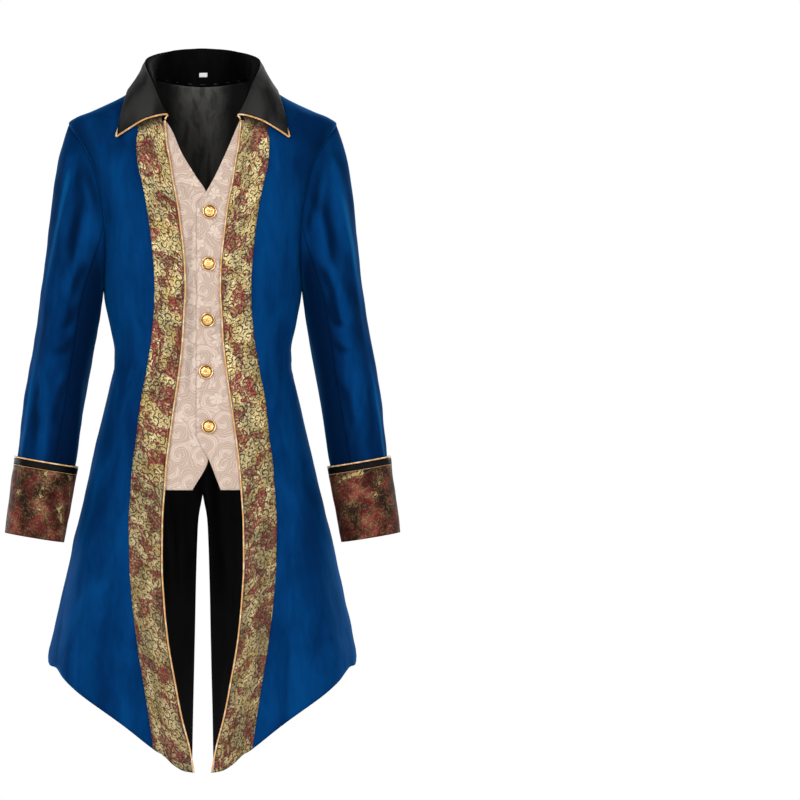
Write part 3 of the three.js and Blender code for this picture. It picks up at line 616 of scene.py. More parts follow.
def velvet_look():
    k = Look("velvet")
    p, fold = k.space(), k.fold()
    tall = p * (1, 1, 0.3)
    broad = k.noise(tall, 0.02, 3, 0.55, 0.6)
    patch = k.noise(tall, 0.085, 3, 0.6, 0.8)
    fine = k.noise(p, 0.9, 2, 0.6)
    lie = k.step(broad * 0.78 + patch * 0.22 + fold * 0.035, 0.3, 0.74)
    # Painted light from the fold number: a lighter blue is painted highlight on ridges and lit
    # streaks, near black is painted shade in troughs and shaded places.
    base = k.layers(
        k.blend(lie, (0.0002, 0.019, 0.084), (0.0004, 0.05, 0.186)),
        (k.step(fold, 0.8, 4.5, 0, 0.75), (0.0015, 0.105, 0.29)),
        (k.step(fold, -0.5, -3.4, 0, 0.92), (0.0001, 0.0045, 0.02)),
        (k.step(fine, 0.3, 0.7, 0, 0.3), (0.0003, 0.022, 0.09)))
    return k.principled(
        Base_Color=base, Roughness=k.step(lie, 0, 1, 0.9, 0.75), Specular_IOR_Level=0.02,
        Sheen_Weight=0.3, Sheen_Roughness=0.35, Sheen_Tint=(0, 0.3, 0.85, 1),
        Normal=k.bump(fine * 0.35 + patch * 0.7, 0.0006, 0.55))


def satin_look(name, deep, light, rough, folds=0, neck=None, specular=0.1, painted_shade_behind=False):
    k = Look(name)
    p = k.space()
    x, y, z = p.parts()
    cloud = k.noise(p * (1, 1, 0.35), 0.03, 3, 0.5, 0.4)
    wale = k.noise(p * (1, 1, 0.12), 1.6, 1, 0.5)
    base = k.blend(k.step(cloud, 0.3, 0.7), deep, light)
    # Painted shade: the satin turns darker towards the back of the piece.
    if painted_shade_behind:
        base = k.blend(k.step(y, -10, 60, 0, 0.85), base, (0.0012,) * 3)
    # Above the waist the lining is painted lighter, as lit through the neck opening, with a painted
    # sheen down its middle.
    if neck:
        strand = k.noise(p * (1, 1, 0.12), 0.09, 2, 0.5, 0.5)
        lit = k.step(abs(x + 4), 52, 14) * k.step(strand, 0.3, 0.62, 0.45, 1)
        base = k.blend(k.step(z, -330, -230), base, k.blend(lit, *neck))
    ripple = k.noise(p * (1, 1, 0.22), 0.06, 2, 0.45, 0.8)
    return k.principled(
        Base_Color=base, Roughness=k.step(cloud, 0.3, 0.7, rough, rough + 0.12),
        Specular_IOR_Level=specular, Normal=k.bump(wale * 0.03 + ripple * folds, 0.003, 0.6))


def warped(k, p, size, scale, reach, shift):
    """Places pushed about by a noise, so that drawn lines waver."""
    push = k.noise(p, scale / size, 2, 0.5, colour=True) - (0.5,) * 3
    return p + push * (size * reach) + shift


def polar(k, q, centre):
    """Angle and distance of each place round its cell's centre."""
    away = q - centre
    x, y, _ = away.parts()
    return k.math("ARCTAN2", y, x), (away * (1, 1, 0)).length()


def scroll(k, p, size, turns, thick, shift):
    """Thin spiral tendrils, one round each cell of an uneven layout."""
    q = warped(k, p, size, 1.4, 0.55, shift)
    centre, tones = k.cells(q, size, 0.75)
    angle, reach = polar(k, q, centre)
    hand = (tones.parts()[0] > 0.5) * 2 - 1
    phase = angle * hand + reach * (turns * 2 * math.pi / size)
    return k.step(abs(k.math("SINE", phase * 0.5)), thick, thick * 0.35)


def figures(k, p, size, shift, share):
    """Flowers in some cells: masks of their petals, outlines, veins and hearts."""
    q = warped(k, p, size, 2.2, 0.42, shift)
    centre, tones = k.cells(q, size, 0.6)
    angle, reach = polar(k, q, centre)
    tone, turn, _ = tones.parts()
    lobes = abs(k.math("SINE", (angle + turn * 6.28) * 2.5))
    grain = k.noise(p, 9 / size, 2, 0.6) - 0.5
    edge = (0.62 + 0.38 * lobes) * (size * 0.34 + grain * (size * 0.34)) - reach
    on = tone < share
    petal = k.step(edge, -0.25, 0.25) * on
    rim = k.step(edge, -0.9, -0.5) * k.step(edge, 0.5, 0.1) * on
    vein = k.step(lobes, 0.25, 0.05) * petal
    return petal, rim, vein, k.step(reach, size * 0.085, size * 0.06) * on


def brocade_look(name, ground, pale, deep, crimson, rose, outline, metal, rough, share,
                 glint=None):
    """Gold cloth with dark curls, flowers and crimson scrolls; with glint, the dark cuffs'."""
    k = Look(name)
    p = k.weave_map()
    # Painted glints: a paler gold that stands in for sparkle on the gold threads.
    painted_glint = tuple(min(1, 1.35 * c) for c in pale)
    curls = scroll(k, p, 12, 1.9, 0.6, (3.1, 7.7, 0))
    small = scroll(k, p, 7, 1.4, 0.42, (31, 12, 0))
    petal, rim, _, heart = figures(k, p, 19, (57, 21, 0), 0.5)
    ribbon = scroll(k, p, 10, 1.7, 1.05, (11, 5, 0))
    edges = scroll(k, p, 10, 1.7, 1.2, (11, 5, 0))
    broad = scroll(k, p, 24, 1.5, 0.9, (23, 15, 0))
    area = k.noise(p, 1 / 30, 2.5, 0.6, 0.8)
    low = 0.5 + 0.12 * (0.5 - share)
    body = k.step(area, low, low + 0.02) * k.step(broad, 0, 0.3, 0.75, 1)
    halo = k.step(area, low - 0.015, low + 0.01)
    ribbon = k.most(ribbon, broad * 0.6)
    red = body * ribbon
    red_edge = k.most(halo * (edges - ribbon), edges * (halo - body))
    grain = k.noise(p, 0.5, 2, 0.6)
    figure = k.blend(k.step(k.noise(p, 0.12, 2, 0.5), 0.35, 0.65), crimson, rose)
    x, y, _ = p.parts()
    weave = k.ribs(y, 0.55) * 0.6 + k.ribs(x, 0.4) * 0.4
    colour = k.layers(
        k.blend(k.step(k.noise(p, 0.03, 2, 0.5), 0.3, 0.7), ground, pale),
        (k.step(grain, 0.45, 0.8, 0, 0.6), deep), (k.step(grain, 0.42, 0.25, 0, 0.7), painted_glint),
        (small * 0.7, deep), (body * 0.4, crimson), (petal * 0.75, pale),
        (curls * 0.95, outline), (rim * 0.9, outline), (heart * 0.8, deep),
        (red_edge, outline), (red * 0.95, figure), (k.step(weave, 0.2, 0.75, 0.25, 0), outline))
    if glint:
        # Painted light on the dark cuffs from the fold number: a lighter colour and painted glints
        # on the ridges, gold areas of the pattern shown only on the raised side as a painted
        # reflection, and painted shade in the troughs.
        fold = k.fold() + k.step(k.noise(p, 0.05, 2, 0.5), 0.3, 0.7, -0.8, 0.8)
        bright = k.step(fold, 0.2, 2.2) * k.step(grain, 0.42, 0.6, 0.1, 0.62)
        patch = k.step(area, 0.385, 0.365) * (0.9 - curls) * k.step(fold, -0.8, 0.6)
        colour = k.layers(
            colour * k.step(fold, 0, 2.2, 1, 1.7), (bright, glint),
            (patch, (0.42, 0.31, 0.13)),
            (k.step(area, 0.4, 0.37) * curls, (0.016, 0.006, 0.004)))
        colour = colour * k.step(fold, -2, 1, 0.42, 1.1)
        colour = colour * k.step(k.noise(p, 0.8, 2, 0.7), 0.36, 0.64, 0.55, 1.5)
    else:
        across, _, high = k.space().parts()
        # Painted shadow below the edge of the collar's fall, and painted shade towards the hem.
        under = -40 - (abs(across) - 61) * 0.47 - high
        colour = k.layers(
            colour, (k.step(under, 20, 3, 0, 0.9), (0.006, 0.003, 0.002)),
            (k.step(high, -380, -760, 0, 0.42), (0.055, 0.026, 0.012)))
        # Painted sparkle of the gold in the fine grain, and painted shade of broad soft folds.
        colour = colour * k.step(k.noise(p, 0.55, 2, 0.7), 0.36, 0.64, 0.74, 1.28)
        wave = k.noise(p * (1, 0.5, 1), 0.035, 2, 0.5, 0.6)
        colour = colour * k.step(wave, 0.36, 0.62, 0.62, 1.08)
    gloss = 1 - k.most(curls, red)
    height = red * 1.5 + petal * 0.7 + curls * -0.8 + weave * 0.8
    return k.principled(
        Base_Color=colour, Metallic=gloss * metal, Specular_IOR_Level=0.04 if glint else 0.2,
        Roughness=k.step(gloss, 0, 1, rough + 0.14, rough), Normal=k.bump(height, 0.0003, 0.75))


def jacquard_look():
    k = Look("jacquard")
    p = k.weave_map()
    swirl = scroll(k, p, 34, 9, 0.75, (9, 4, 0))
    broad = scroll(k, p, 34, 1.6, 0.8, (9, 4, 0))
    petal, rim, vein, _ = figures(k, p, 30, (14, 41, 0), 0.45)
    raised = k.most(broad * 0.45 + swirl * 0.55, petal * 0.8) - k.most(rim, vein) * 0.7
    x, y, _ = p.parts()
    twill = k.ribs(x + y, 0.6)
    colour = k.blend(k.step(raised, 0, 1), (0.5, 0.365, 0.29), (0.72, 0.575, 0.475))
    colour = k.blend(k.step(twill, 0, 0.6, 0.12, 0), colour, (0.4, 0.28, 0.22))
    # The fold number paints shade into the waistcoat's creases.
    return k.principled(
        Base_Color=colour * k.step(k.fold(), -0.9, 0.1, 0.74, 1),
        Roughness=k.step(raised, 0, 1, 0.6, 0.36),
        Normal=k.bump(raised * 1.6 + twill * 0.3, 0.0004, 0.7))


def cord_look(name, dark, light, metal):
    k = Look(name)
    x, y, _ = k.weave_map().parts()
    strand = k.math("SINE", y * (2 * math.pi / 1.5) + x * (2 * math.pi / 4.4))
    patches_and_highlight = k.noise(k.space(), 0.12, 3, 0.6)
    # Painted highlight where the noise is low, a paler gold for the cord's shine; darker patches
    # where it is high.
    colour = k.layers(
        k.blend(k.step(strand, -0.7, 0.5), dark, light), (k.step(patches_and_highlight, 0.5, 0.7, 0, 0.4), dark),
        (k.step(patches_and_highlight, 0.5, 0.36, 0, 0.8), tuple(c**0.4 for c in light)))
    return k.principled(Base_Color=colour, Metallic=metal, Roughness=0.3, Specular_IOR_Level=0.9,
                        Normal=k.bump(strand, 0.00025, 0.7))


def metal_look():
    k = Look("gold_metal")
    p, relief = k.space(), k.fold()
    brushed = k.noise(p, 1.2, 3, 0.6)
    spots = k.step(k.noise(p, 0.25, 3, 0.6), 0.35, 0.7)
    # Painted shade in the rosette's grooves, a ring and its edge, and a painted highlight on its
    # raised parts, from the fold number.
    colour = k.layers(
        k.blend(spots, (0.8, 0.43, 0.11), (0.98, 0.66, 0.26)),
        (k.step(relief, -0.05, -0.7), (0.3, 0.1, 0.012)),
        (k.step(relief, 0.25, 0.8), (1, 0.88, 0.62)))
    return k.principled(Base_Color=colour, Metallic=1, Normal=k.bump(brushed, 0.00012, 0.4),
                        Roughness=k.step(brushed, 0.3, 0.7, 0.2, 0.34))


def tape_look():
    k = Look("white_tape")
    p = k.space()
    cloud = k.step(k.noise(p, 0.3, 2, 0.5), 0.3, 0.7)
    return k.principled(
        Base_Color=k.blend(cloud, (0.84, 0.84, 0.82), (0.92, 0.92, 0.91)), Roughness=0.7,
        Normal=k.bump(k.ribs(p.parts()[2], 0.5), 0.0003, 0.5))


velvet = velvet_look()
black = satin_look("black_satin", (0.004, 0.004, 0.0041), (0.027, 0.0262, 0.0255), 0.66,
                   painted_shade_behind=True)
# A darker, less shiny copy of the black satin for the collar's stand: painted shade inside the
# neck.
shaded_stand_satin = satin_look("shaded_stand_satin", (0.0003,) * 3, (0.003,) * 3, 0.6,
                         specular=0.02)
band_satin = satin_look("band_satin", (0.0008,) * 3, (0.003,) * 3, 0.5)
inner_satin = satin_look("black_lining", (0.0008,) * 3, (0.003,) * 3, 0.45,
                         0.6, ((0.01, 0.01, 0.0098), (0.125, 0.123, 0.115)))
brocade = brocade_look(
    "brocade", (0.58, 0.41, 0.14), (0.97, 0.79, 0.4), (0.18, 0.095, 0.03), (0.16, 0.001, 0.012),
    (0.28, 0.005, 0.026), (0.008, 0.003, 0.002), 0.15, 0.34, 0.33)
cuff_brocade = brocade_look(
    "cuff_brocade", (0.036, 0.017, 0.01), (0.06, 0.022, 0.014), (0.018, 0.008, 0.005),
    (0.085, 0.004, 0.008), (0.15, 0.014, 0.018), (0.17, 0.105, 0.05), 0, 0.4, 0.66,
    (0.24, 0.125, 0.065))
jacquard = jacquard_look()
gold_cord = cord_look("gold_cord", (0.62, 0.24, 0.045), (1, 0.62, 0.24), 0.1)
thread = cord_look("thread", (0.55, 0.42, 0.36), (0.72, 0.58, 0.5), 0)
gold_metal = metal_look()
white_tape = tape_look()

# Body panels with their folds

FRONT_CREASES = creases([
    (176, 420, 170, 520, 160, 640, 1.6, 10), (112, 360, 104, 470, 92, 600, 2.2, 13),
    (84, 560, 78, 610, 70, 655, 1.6, 9), (110, 140, 106, 190, 112, 240, 1.6, 9),
    (128, 300, 120, 345, 124, 395, 1.2, 9), (296, 370, 306, 470, 318, 600, 2.2, 13),
    (322, 560, 330, 610, 338, 655, 1.6, 9), (296, 140, 300, 190, 294, 240, 1.6, 9),
    (276, 300, 284, 345, 280, 395, 1.2, 9), (92, 355, 112, 366, 134, 368, 1.0, 6),
    (312, 357, 292, 367, 272, 368, 1.0, 6),
], front_place)
BACK_CREASES = creases([
    (670, 95, 688, 122, 700, 160, 2.6, 7), (655, 92, 672, 118, 682, 150, 1.6, 6),
    (528, 96, 512, 122, 500, 158, 2.0, 7), (660, 145, 672, 180, 672, 262, 1.8, 10),
    (540, 150, 530, 185, 532, 262, 1.5, 10), (505, 585, 522, 620, 545, 655, 1.6, 11),
    (545, 470, 542, 540, 548, 610, 2.2, 13), (655, 450, 662, 540, 658, 630, 2.2, 13),
    (700, 480, 712, 550, 716, 600, 1.8, 12), (522, 345, 560, 356, 600, 352, 1.2, 8),
    (676, 345, 640, 358, 604, 354, 1.2, 8), (528, 322, 556, 330, 584, 322, 0.9, 7),
], back_place)


def relief(points, lines, seed):
    total = 0.9 * soft(points * [1, 1, 0.45], seed, 150) + 0.5 * soft(points, seed + 1, 60)
    return add_creases(total, points, lines)


def front_relief(p):
    return relief(p, FRONT_CREASES, 5) * gentle(np.abs(p[..., 0]), 22, 60)


def dip(distance, depth=1.1, width=3.2):
    return -depth * bell(distance, 0, width)


def body_panel(grid, side, behind):
    """Points, outward directions and tone of a front, or of one half of the back; the tone is
    painted shade and highlight.
    """
    fine = finer(finer(grid, FINE), FINE, 1)
    theta, z = fine[..., 0], fine[..., 1]
    p, n = mirrored(form(theta, z), side), mirrored(form_normal(theta, z), side)
    across, down = runs(p, 1), runs(p, 0)
    to_side = across[:, -1:] - across
    lift = relief(p, BACK_CREASES, 9) if behind else front_relief(p)
    lift = lift * gentle(to_side, 0, 26) * gentle(down, 0, 20)
    seam = dip(to_side)
    first = (BACK_NECK if behind else NECK_COLUMN) * FINE
    seam[:, first:] += dip(down[:, first:])
    seam = np.maximum(seam, -1.1)
    # Painted light: lighter on the ridges of the folds, painted shade in their troughs and in the
    # seams' dips.
    tone = 0.55 * lift + 1.3 * seam
    off_centre, armhole = np.abs(p[..., 0]), gentle(z, -430, -330)
    # Painted shade across the shoulders and beside the armholes, on the outer face; on the back
    # also a painted sheen down the middle below the shoulders.
    if behind:
        top = z + 0.35 * off_centre + 14 * soft(p, 71, 60)
        dark = 2.3 * gentle(top, -95, 10) + 1.5 * gentle(-to_side, -34, -4) * armhole
        tone = tone - dark * gentle(p[..., 1], 0, 70)
        tone = tone + 1.1 * gentle(-off_centre, -120, -40) * (1 - gentle(top, -150, -60))
    else:
        top = z + 0.25 * off_centre + 22 * soft(p, 73, 70)
        dark = 2.1 * gentle(top, -130, 0) + 1.3 * gentle(-to_side, -30, -4) * armhole
        tone = tone - dark * gentle(-p[..., 1], 0, 60)
    q = p + n * (lift + seam)[..., None]
    if behind:
        # The shoulder row goes a little forward and in, where the front meets it
        tuck = np.arange(q.shape[1])
        tuck = gentle(tuck, first - 1, first + 1) * gentle(tuck[::-1], 1, 4)
        q[0] += (unit(q[0] - q[1]) * 1.1 - n[0] * 0.9) * tuck[:, None]
    return q, n, tone


front_panels, halves, side_edges = {}, {}, {}
for label, side in SIDES:
    points, normals, tone = front_panels[side] = body_panel(FRONT, side, False)
    side_edges[False] = mirrored(points[: ARM_ROWS * FINE + 1, -1], side)
    o = cloth(f"front_{label}_cloth", points, normals, VELVET, [velvet, inner_satin], inner=1,
              fold=tone)
    sheet_of(o, f"front_{label}", "velvet")
for label, side in SIDES:
    halves[side] = body_panel(BACK, side, True)
    side_edges[True] = mirrored(halves[side][0][: ARM_ROWS * FINE + 1, -1], side)
shared = VENT_ROW * FINE
middle = (halves[1][0][: shared + 1, 0] + halves[-1][0][: shared + 1, 0]) / 2
middle[:, 0] = 0


def whole_back(name, out, thickness, material, fold=None):
    """Both halves of the back as one sheet, joined down to the slit."""
    vertices, uvs, faces, tones = [], [], [], []
    for side in (1, -1):
        points, n, tone = halves[side]
        p = points.copy()
        p[: shared + 1, 0] = middle
        uv = arcs(p, side)
        p = p + n * out
        if fold is not None:
            p = p - n * fold(p)[..., None]
        p[: shared + 1, 0, 0] = 0
        keep = np.ones(p.shape[:2], bool)
        keep[: shared + 1, 0] = side > 0
        index = np.full(p.shape[:2], -1)
        index[keep] = np.arange(keep.sum()) + len(vertices)
        if side < 0:
            index[: shared + 1, 0] = joined
        joined = index[: shared + 1, 0]
        vertices.extend(p[keep])
        uvs.extend(uv[keep])
        tones.extend(tone[keep])
        f = np.stack([index[:-1, :-1], index[1:, :-1], index[1:, 1:], index[:-1, 1:]], -1)
        f = f.reshape(-1, 4)
        faces.append(f[:, ::-1] if side == 1 else f)
    o = mesh_object(name, vertices, np.concatenate(faces), uvs, [material], tones)
    return thicken(o, thickness)


def lining_folds(p):
    """Vertical soft folds of the lining, only towards the inside."""
    x, z = p[..., 0], p[..., 2]
    wave = 0.5 + 0.5 * np.sin(x / 11.5 + 0.9 * np.sin(z / 130) + 0.5 * np.sin(x / 31))
    wave2 = 0.5 + 0.5 * np.sin(x / 5.2 + 1.7 * np.sin(z / 85 + 1))
    away = gentle(160 - np.abs(x), 0, 45) * gentle(-z, 0, 40)
    return (3.6 * wave**2 + 1.1 * wave2) * away + 0.2


sheet_of(whole_back("back_cloth", 0, VELVET, velvet), "back", "velvet")
sheet_of(whole_back("back_lining_cloth", -VELVET - LIFT, LINING, inner_satin, lining_folds),
         "back_lining", "black_satin")

# Sleeves


def arm_centre(z):
    z = np.asarray(z, float)
    down = np.maximum((SLEEVE_TOP - z) / (SLEEVE_TOP - SLEEVE_END), 0)
    return np.stack([SLEEVE_X + SLEEVE_SLOPE * (SLEEVE_TOP - z), SLEEVE_FORWARD * down**1.5, z], -1)


def arm_point(phi, z, out=0.0):
    """Point of the sleeve form: angle 0 outside, 90 in front, 180 inside, 270 behind."""
    phi, z = both(phi, z)
    swell = np.sin(math.pi * np.clip((SLEEVE_TOP - z) / 230, 0, 1))
    fold = 2.4 * np.sin(np.radians(3 * phi + 50) + z / 90) * swell
    w, d = arm_width(z) + out + fold, arm_depth(z) + out + fold
    c, s = np.cos(np.radians(phi)), np.sin(np.radians(phi))
    across = np.sign(c) * np.abs(c) ** ARM_SQUARE * w
    deep = -np.sign(s) * np.abs(s) ** ARM_SQUARE * d
    t = math.radians(SECTION_TILT)
    return arm_centre(z) + np.stack([across * math.cos(t), deep, across * math.sin(t)], -1)


ARM_RING = np.concatenate([side_edges[False], side_edges[True][-2:0:-1]])


def ring_at(k):
    n = len(ARM_RING)
    at = np.mod(np.asarray(k, float) * FINE, n)
    i = at.astype(int)
    t = (at - i)[..., None]
    return ARM_RING[i % n] * (1 - t) + ARM_RING[(i + 1) % n] * t


def cap_point(k, t):
    """Point of the sleeve's head, from the armhole at share 0 to the sleeve form at 1."""
    k, t = both(k, t)
    phi = np.radians(k * STEP)
    c, s = np.cos(phi), np.sin(phi)
    start, end = ring_at(k), arm_point(k * STEP, SLEEVE_TOP + 0 * k)
    reach = np.linalg.norm(end - start, axis=-1, keepdims=True)
    leave = unit(np.stack([0.1 + 0.13 * (1 + c), -0.3 * s, -0.95 + 0 * c], -1))
    start = start + leave * 0.15
    arrive = unit(np.array([SLEEVE_SLOPE, 0, -1.0])) * reach
    leave = leave * reach
    return between(start, leave, end, arrive, t[..., None])


def outward(points, centre):
    """Unit directions out of a free grid, away from a centre."""
    n = unit(np.cross(np.gradient(points, axis=0), np.gradient(points, axis=1)))
    r, c = points.shape[0] // 2, points.shape[1] // 2
    return n if n[r, c] @ (points[r, c] - centre[r, c]) > 0 else -n


ARM_FRONT = creases([
    (90, 145, 92, 180, 102, 215, 2.8, 6), (70, 150, 68, 200, 60, 262, -1.6, 8),
    (60, 285, 50, 350, 42, 430, -1.6, 8), (86, 262, 74, 290, 66, 330, 2.4, 6),
    (84, 300, 70, 322, 58, 330, 2.2, 5.5), (80, 335, 66, 350, 50, 352, 1.8, 5.5),
    (76, 372, 62, 392, 52, 430, 1.8, 6), (40, 380, 36, 410, 34, 446, 1.4, 5),
    (82, 200, 74, 236, 72, 276, 1.8, 6), (320, 160, 312, 205, 304, 238, 2.8, 6),
    (334, 150, 338, 200, 346, 262, -1.6, 8), (345, 285, 354, 350, 362, 430, -1.6, 8),
    (318, 262, 330, 290, 338, 330, 2.4, 6), (322, 302, 336, 322, 348, 328, 2.2, 5.5),
    (326, 338, 340, 350, 354, 350, 1.8, 5.5), (330, 374, 344, 394, 354, 432, 1.8, 6),
    (366, 380, 370, 410, 372, 446, 1.4, 5), (322, 200, 330, 236, 332, 276, 1.8, 6),
], front_place)
ARM_BACK = creases([
    (500, 170, 506, 205, 500, 245, 2.4, 6), (470, 200, 462, 250, 456, 300, -1.6, 8),
    (500, 262, 484, 285, 462, 300, 2.4, 6), (494, 300, 478, 322, 456, 330, 2.2, 6),
    (484, 345, 466, 362, 444, 364, 1.8, 6), (470, 380, 456, 410, 448, 440, 1.6, 6),
    (700, 170, 694, 205, 700, 245, 2.4, 6), (730, 200, 738, 250, 744, 300, -1.6, 8),
    (698, 262, 716, 285, 738, 300, 2.4, 6), (704, 300, 722, 322, 744, 330, 2.2, 6),
    (714, 345, 734, 362, 756, 364, 1.8, 6), (730, 380, 744, 410, 752, 440, 1.6, 6),
], back_place)


def arm_relief(p, phi):
    facing = gentle(np.sin(np.radians(phi)), -0.25, 0.35)
    total = 0.9 * soft(p * [1, 1, 0.5], 21, 90) + 0.5 * soft(p, 23, 42)
    total = add_creases(total, p, ARM_FRONT, facing)
    return add_creases(total, p, ARM_BACK, 1 - facing)


def sleeve_grid(k0, k1, side):
    """Points, outward directions and tone of a sleeve part between two of its columns; the tone is
    painted shade and highlight.
    """
    k = np.linspace(k0 + COLUMN_GAP, k1 - COLUMN_GAP, int((k1 - k0) * 4) + 1)[None, :]
    t = np.linspace(0, 1, CAP_FINE)[:-1, None]
    z = np.linspace(SLEEVE_TOP, SLEEVE_END, ARM_FINE)[:, None]
    p = np.concatenate([cap_point(k, t), arm_point(k * STEP, z)])
    n = outward(p, arm_centre(p[..., 2]))
    p, n = mirrored(p, side), mirrored(n, side)
    across, down = runs(p, 1), runs(p, 0)
    edge = np.minimum(across, across[:, -1:] - across)
    phi = np.broadcast_to(k * STEP, edge.shape)
    body_side = 1 - gentle(np.cos(np.radians(phi)), -0.85, -0.35)
    lift = arm_relief(p, phi) * gentle(down, 4, 40) * gentle(down[-1:] - down, 0, 30)
    lift = lift * (0.35 + 0.65 * gentle(edge, 0, 12))
    lift = np.where(body_side > 0.01, np.minimum(lift, 1 - body_side), lift)
    seam = across[:, -1:] - across if k0 > 0 else across
    lift = lift + dip(seam, 0.9, 2.6) * gentle(down, 0, 6)
    # Painted light: bright streaks near the outer side and fainter ones at front and back, painted
    # shade towards the inner side, and the whole sleeve painted darker.
    turned = np.abs((phi + 180) % 360 - 180)
    tone = 6.2 * bell(turned, 29, 6.5) + 2.0 * bell(turned, 80, 8)
    tone = tone * (0.75 + 0.35 * soft(p * [1, 1, 0.3], 61, 110)) - 2.8 * gentle(turned, 88, 128)
    return p + n * lift[..., None], n, 0.6 * lift - 1.7 + tone * gentle(down, 10, 70)


for label, side in SIDES:
    for part, k0, k1 in (("upper", -6, 6), ("under", 6, 14)):
        points, normals, tone = sleeve_grid(k0, k1, side)
        o = cloth(f"sleeve_{part}_{label}_cloth", points, normals, VELVET, [velvet, inner_satin],
                  inner=1, fold=tone)
        sheet_of(o, f"sleeve_{part}_{label}", "velvet")

# Cuffs, their black edges and cords

CUFF_CREASES = creases([
    (22, 536, 42, 516, 66, 486, -1.1, 5), (40, 536, 56, 522, 70, 500, -0.8, 4),
    (30, 506, 48, 496, 62, 478, 0.7, 4), (8, 520, 14, 500, 18, 480, -0.5, 5),
], front_place)


def cuff_point(column, z):
    column, z = both(column, z)
    lap = CUFF_LAP * np.clip((4.2 - column) / 2.2, 0, 1)
    flare = CUFF_FLARE * (z - CUFF_BOTTOM) / (CUFF_TOP - CUFF_BOTTOM)
    return arm_point(CUFF_START + STEP * column, z, CUFF_CLEAR + flare + lap)


def cuff_soft(p):
    """Folds of a cuff, the same on both, with the lines of the wearer's right."""
    return add_creases(0.5 * soft(p, 31, 44) + 0.25 * soft(p, 33, 20), np.abs(p) * [-1, 1, 1],
                       CUFF_CREASES)


def cuff_strip(name, z0, z1, rows, side, material):
    c = np.linspace(0, CUFF_COLUMNS, CUFF_COLUMNS * 4 + 1)[None, :]
    p = cuff_point(c, np.linspace(z0, z1, rows)[:, None])
    n = outward(p, arm_centre(p[..., 2]))
    p, n = mirrored(p, side), mirrored(n, side)
    lift = cuff_soft(p)
    p = p + n * lift[..., None]
    # The folds' height becomes the fold number, which the cuff brocade turns into painted highlight
    # and painted shade.
    return cloth(name, p, n, SATIN, [material], uv=arcs(p, side, 0.31), fold=2.2 * lift)


def tube(name, line, radius, sides=8, nodes=()):
    """Round cord along a smooth line of points."""
    line = np.asarray(line, float)
    along = unit(np.gradient(line, axis=0))
    turns = 2 * math.pi * np.arange(sides) / sides
    u = unit(np.cross(along[0], [0.0, -1.0, 0.0]) + 1e-6)
    ring = []
    for p, a in zip(line, along):
        u = unit(u - a * (u @ a))
        v = np.cross(a, u)
        ring.extend(p + radius * (u * math.cos(t) + v * math.sin(t)) for t in turns)
    rows = len(line)
    faces = ring_faces(rows, sides)
    faces.append(range(sides)[::-1])
    faces.append(range((rows - 1) * sides, rows * sides))
    run = runs(line)
    uv = np.stack([np.tile(turns * radius, rows), np.repeat(run, sides)], -1) * MM
    print(f"cord {name} {run[-1] * MM:.3f}")
    declare(mesh_object(name, ring, faces, uv, [gold_cord]), "gold_cord", *nodes)


def smooth_line(points, step=1.6):
    """Evenly spaced points on a smooth curve through the given ones."""
    p = finer(np.asarray(points, float), 8)
    run = runs(p)
    return along_line(np.linspace(0, run[-1], max(int(run[-1] / step), 8)), run, p)


def along_line(at, run, points):
    return np.stack([np.interp(at, run, points[:, i]) for i in range(3)], -1)


def front_piping(side):
    z = np.linspace(-51, FRONT_TIP, 140)
    theta = angle_at(edge_x(z), z)
    n, p = form_normal(theta, z), form(theta, z)
    p[:, 0] -= PIPING_R + 0.5
    p = mirrored(p - 0.2 * n, side)
    return smooth_line(p + mirrored(n, side) * front_relief(p)[:, None])


FLAT = [1, 1, 0]
CUFF_CORD_R = PIPING_R - 0.2


def cuff_piping(side):
    """Up the lapped edge of a cuff and round its top."""
    up = unit(np.array([-SLEEVE_SLOPE, 0, 1.0])) * (CUFF_CORD_R + 0.7)

    def edge(z):
        p, q, c = cuff_point(0, z), cuff_point(1, z), arm_centre(z)
        return p + unit((p - q) * FLAT) * (CUFF_CORD_R + 0.8) - unit((p - c) * FLAT) * 0.8

    line = [edge(z) for z in np.linspace(CUFF_BOTTOM + 3, CUFF_TOP - 1, 8)]
    line.append(edge(CUFF_TOP) + up * 1.6)
    for c in np.arange(0, CUFF_COLUMNS - 1.5, 0.5):
        p = cuff_point(max(c, 0.8), CUFF_TOP)
        line.append(p + up + unit((arm_centre(CUFF_TOP) - p) * FLAT) * 0.8)
    line = [p for i, p in enumerate(line) if i == 0 or np.linalg.norm(p - line[i - 1]) > 0.5]
    return smooth_line(mirrored(np.array(line), side))


for label, side in SIDES:
    o = cuff_strip(f"cuff_{label}_cloth", CUFF_BOTTOM, CUFF_BAND - 0.4, 24, side, cuff_brocade)
    sheet_of(o, f"cuff_{label}", "cuff_brocade")
    o = cuff_strip(f"cuff_band_{label}_cloth", CUFF_BAND, CUFF_TOP, 5, side, band_satin)
    sheet_of(o, f"cuff_band_{label}", "black_satin")
    tube(f"cuff_cord_{label}", cuff_piping(side), CUFF_CORD_R, nodes=[f"cuff_piping_{label}"])
    p = cuff_point(np.arange(0, CUFF_COLUMNS + 0.01, 0.25), CUFF_BAND - 0.2)
    out = unit((p - arm_centre(CUFF_BAND)) * FLAT)
    seam = mirrored(p + out * 0.1, side)
    seam = seam + mirrored(out, side) * cuff_soft(seam)[:, None]
    tube(f"cuff_seam_{label}", smooth_line(seam), 0.25, 6)
    tube(f"front_cord_{label}", front_piping(side), PIPING_R, nodes=[f"front_piping_{label}"])

# Brocade bands

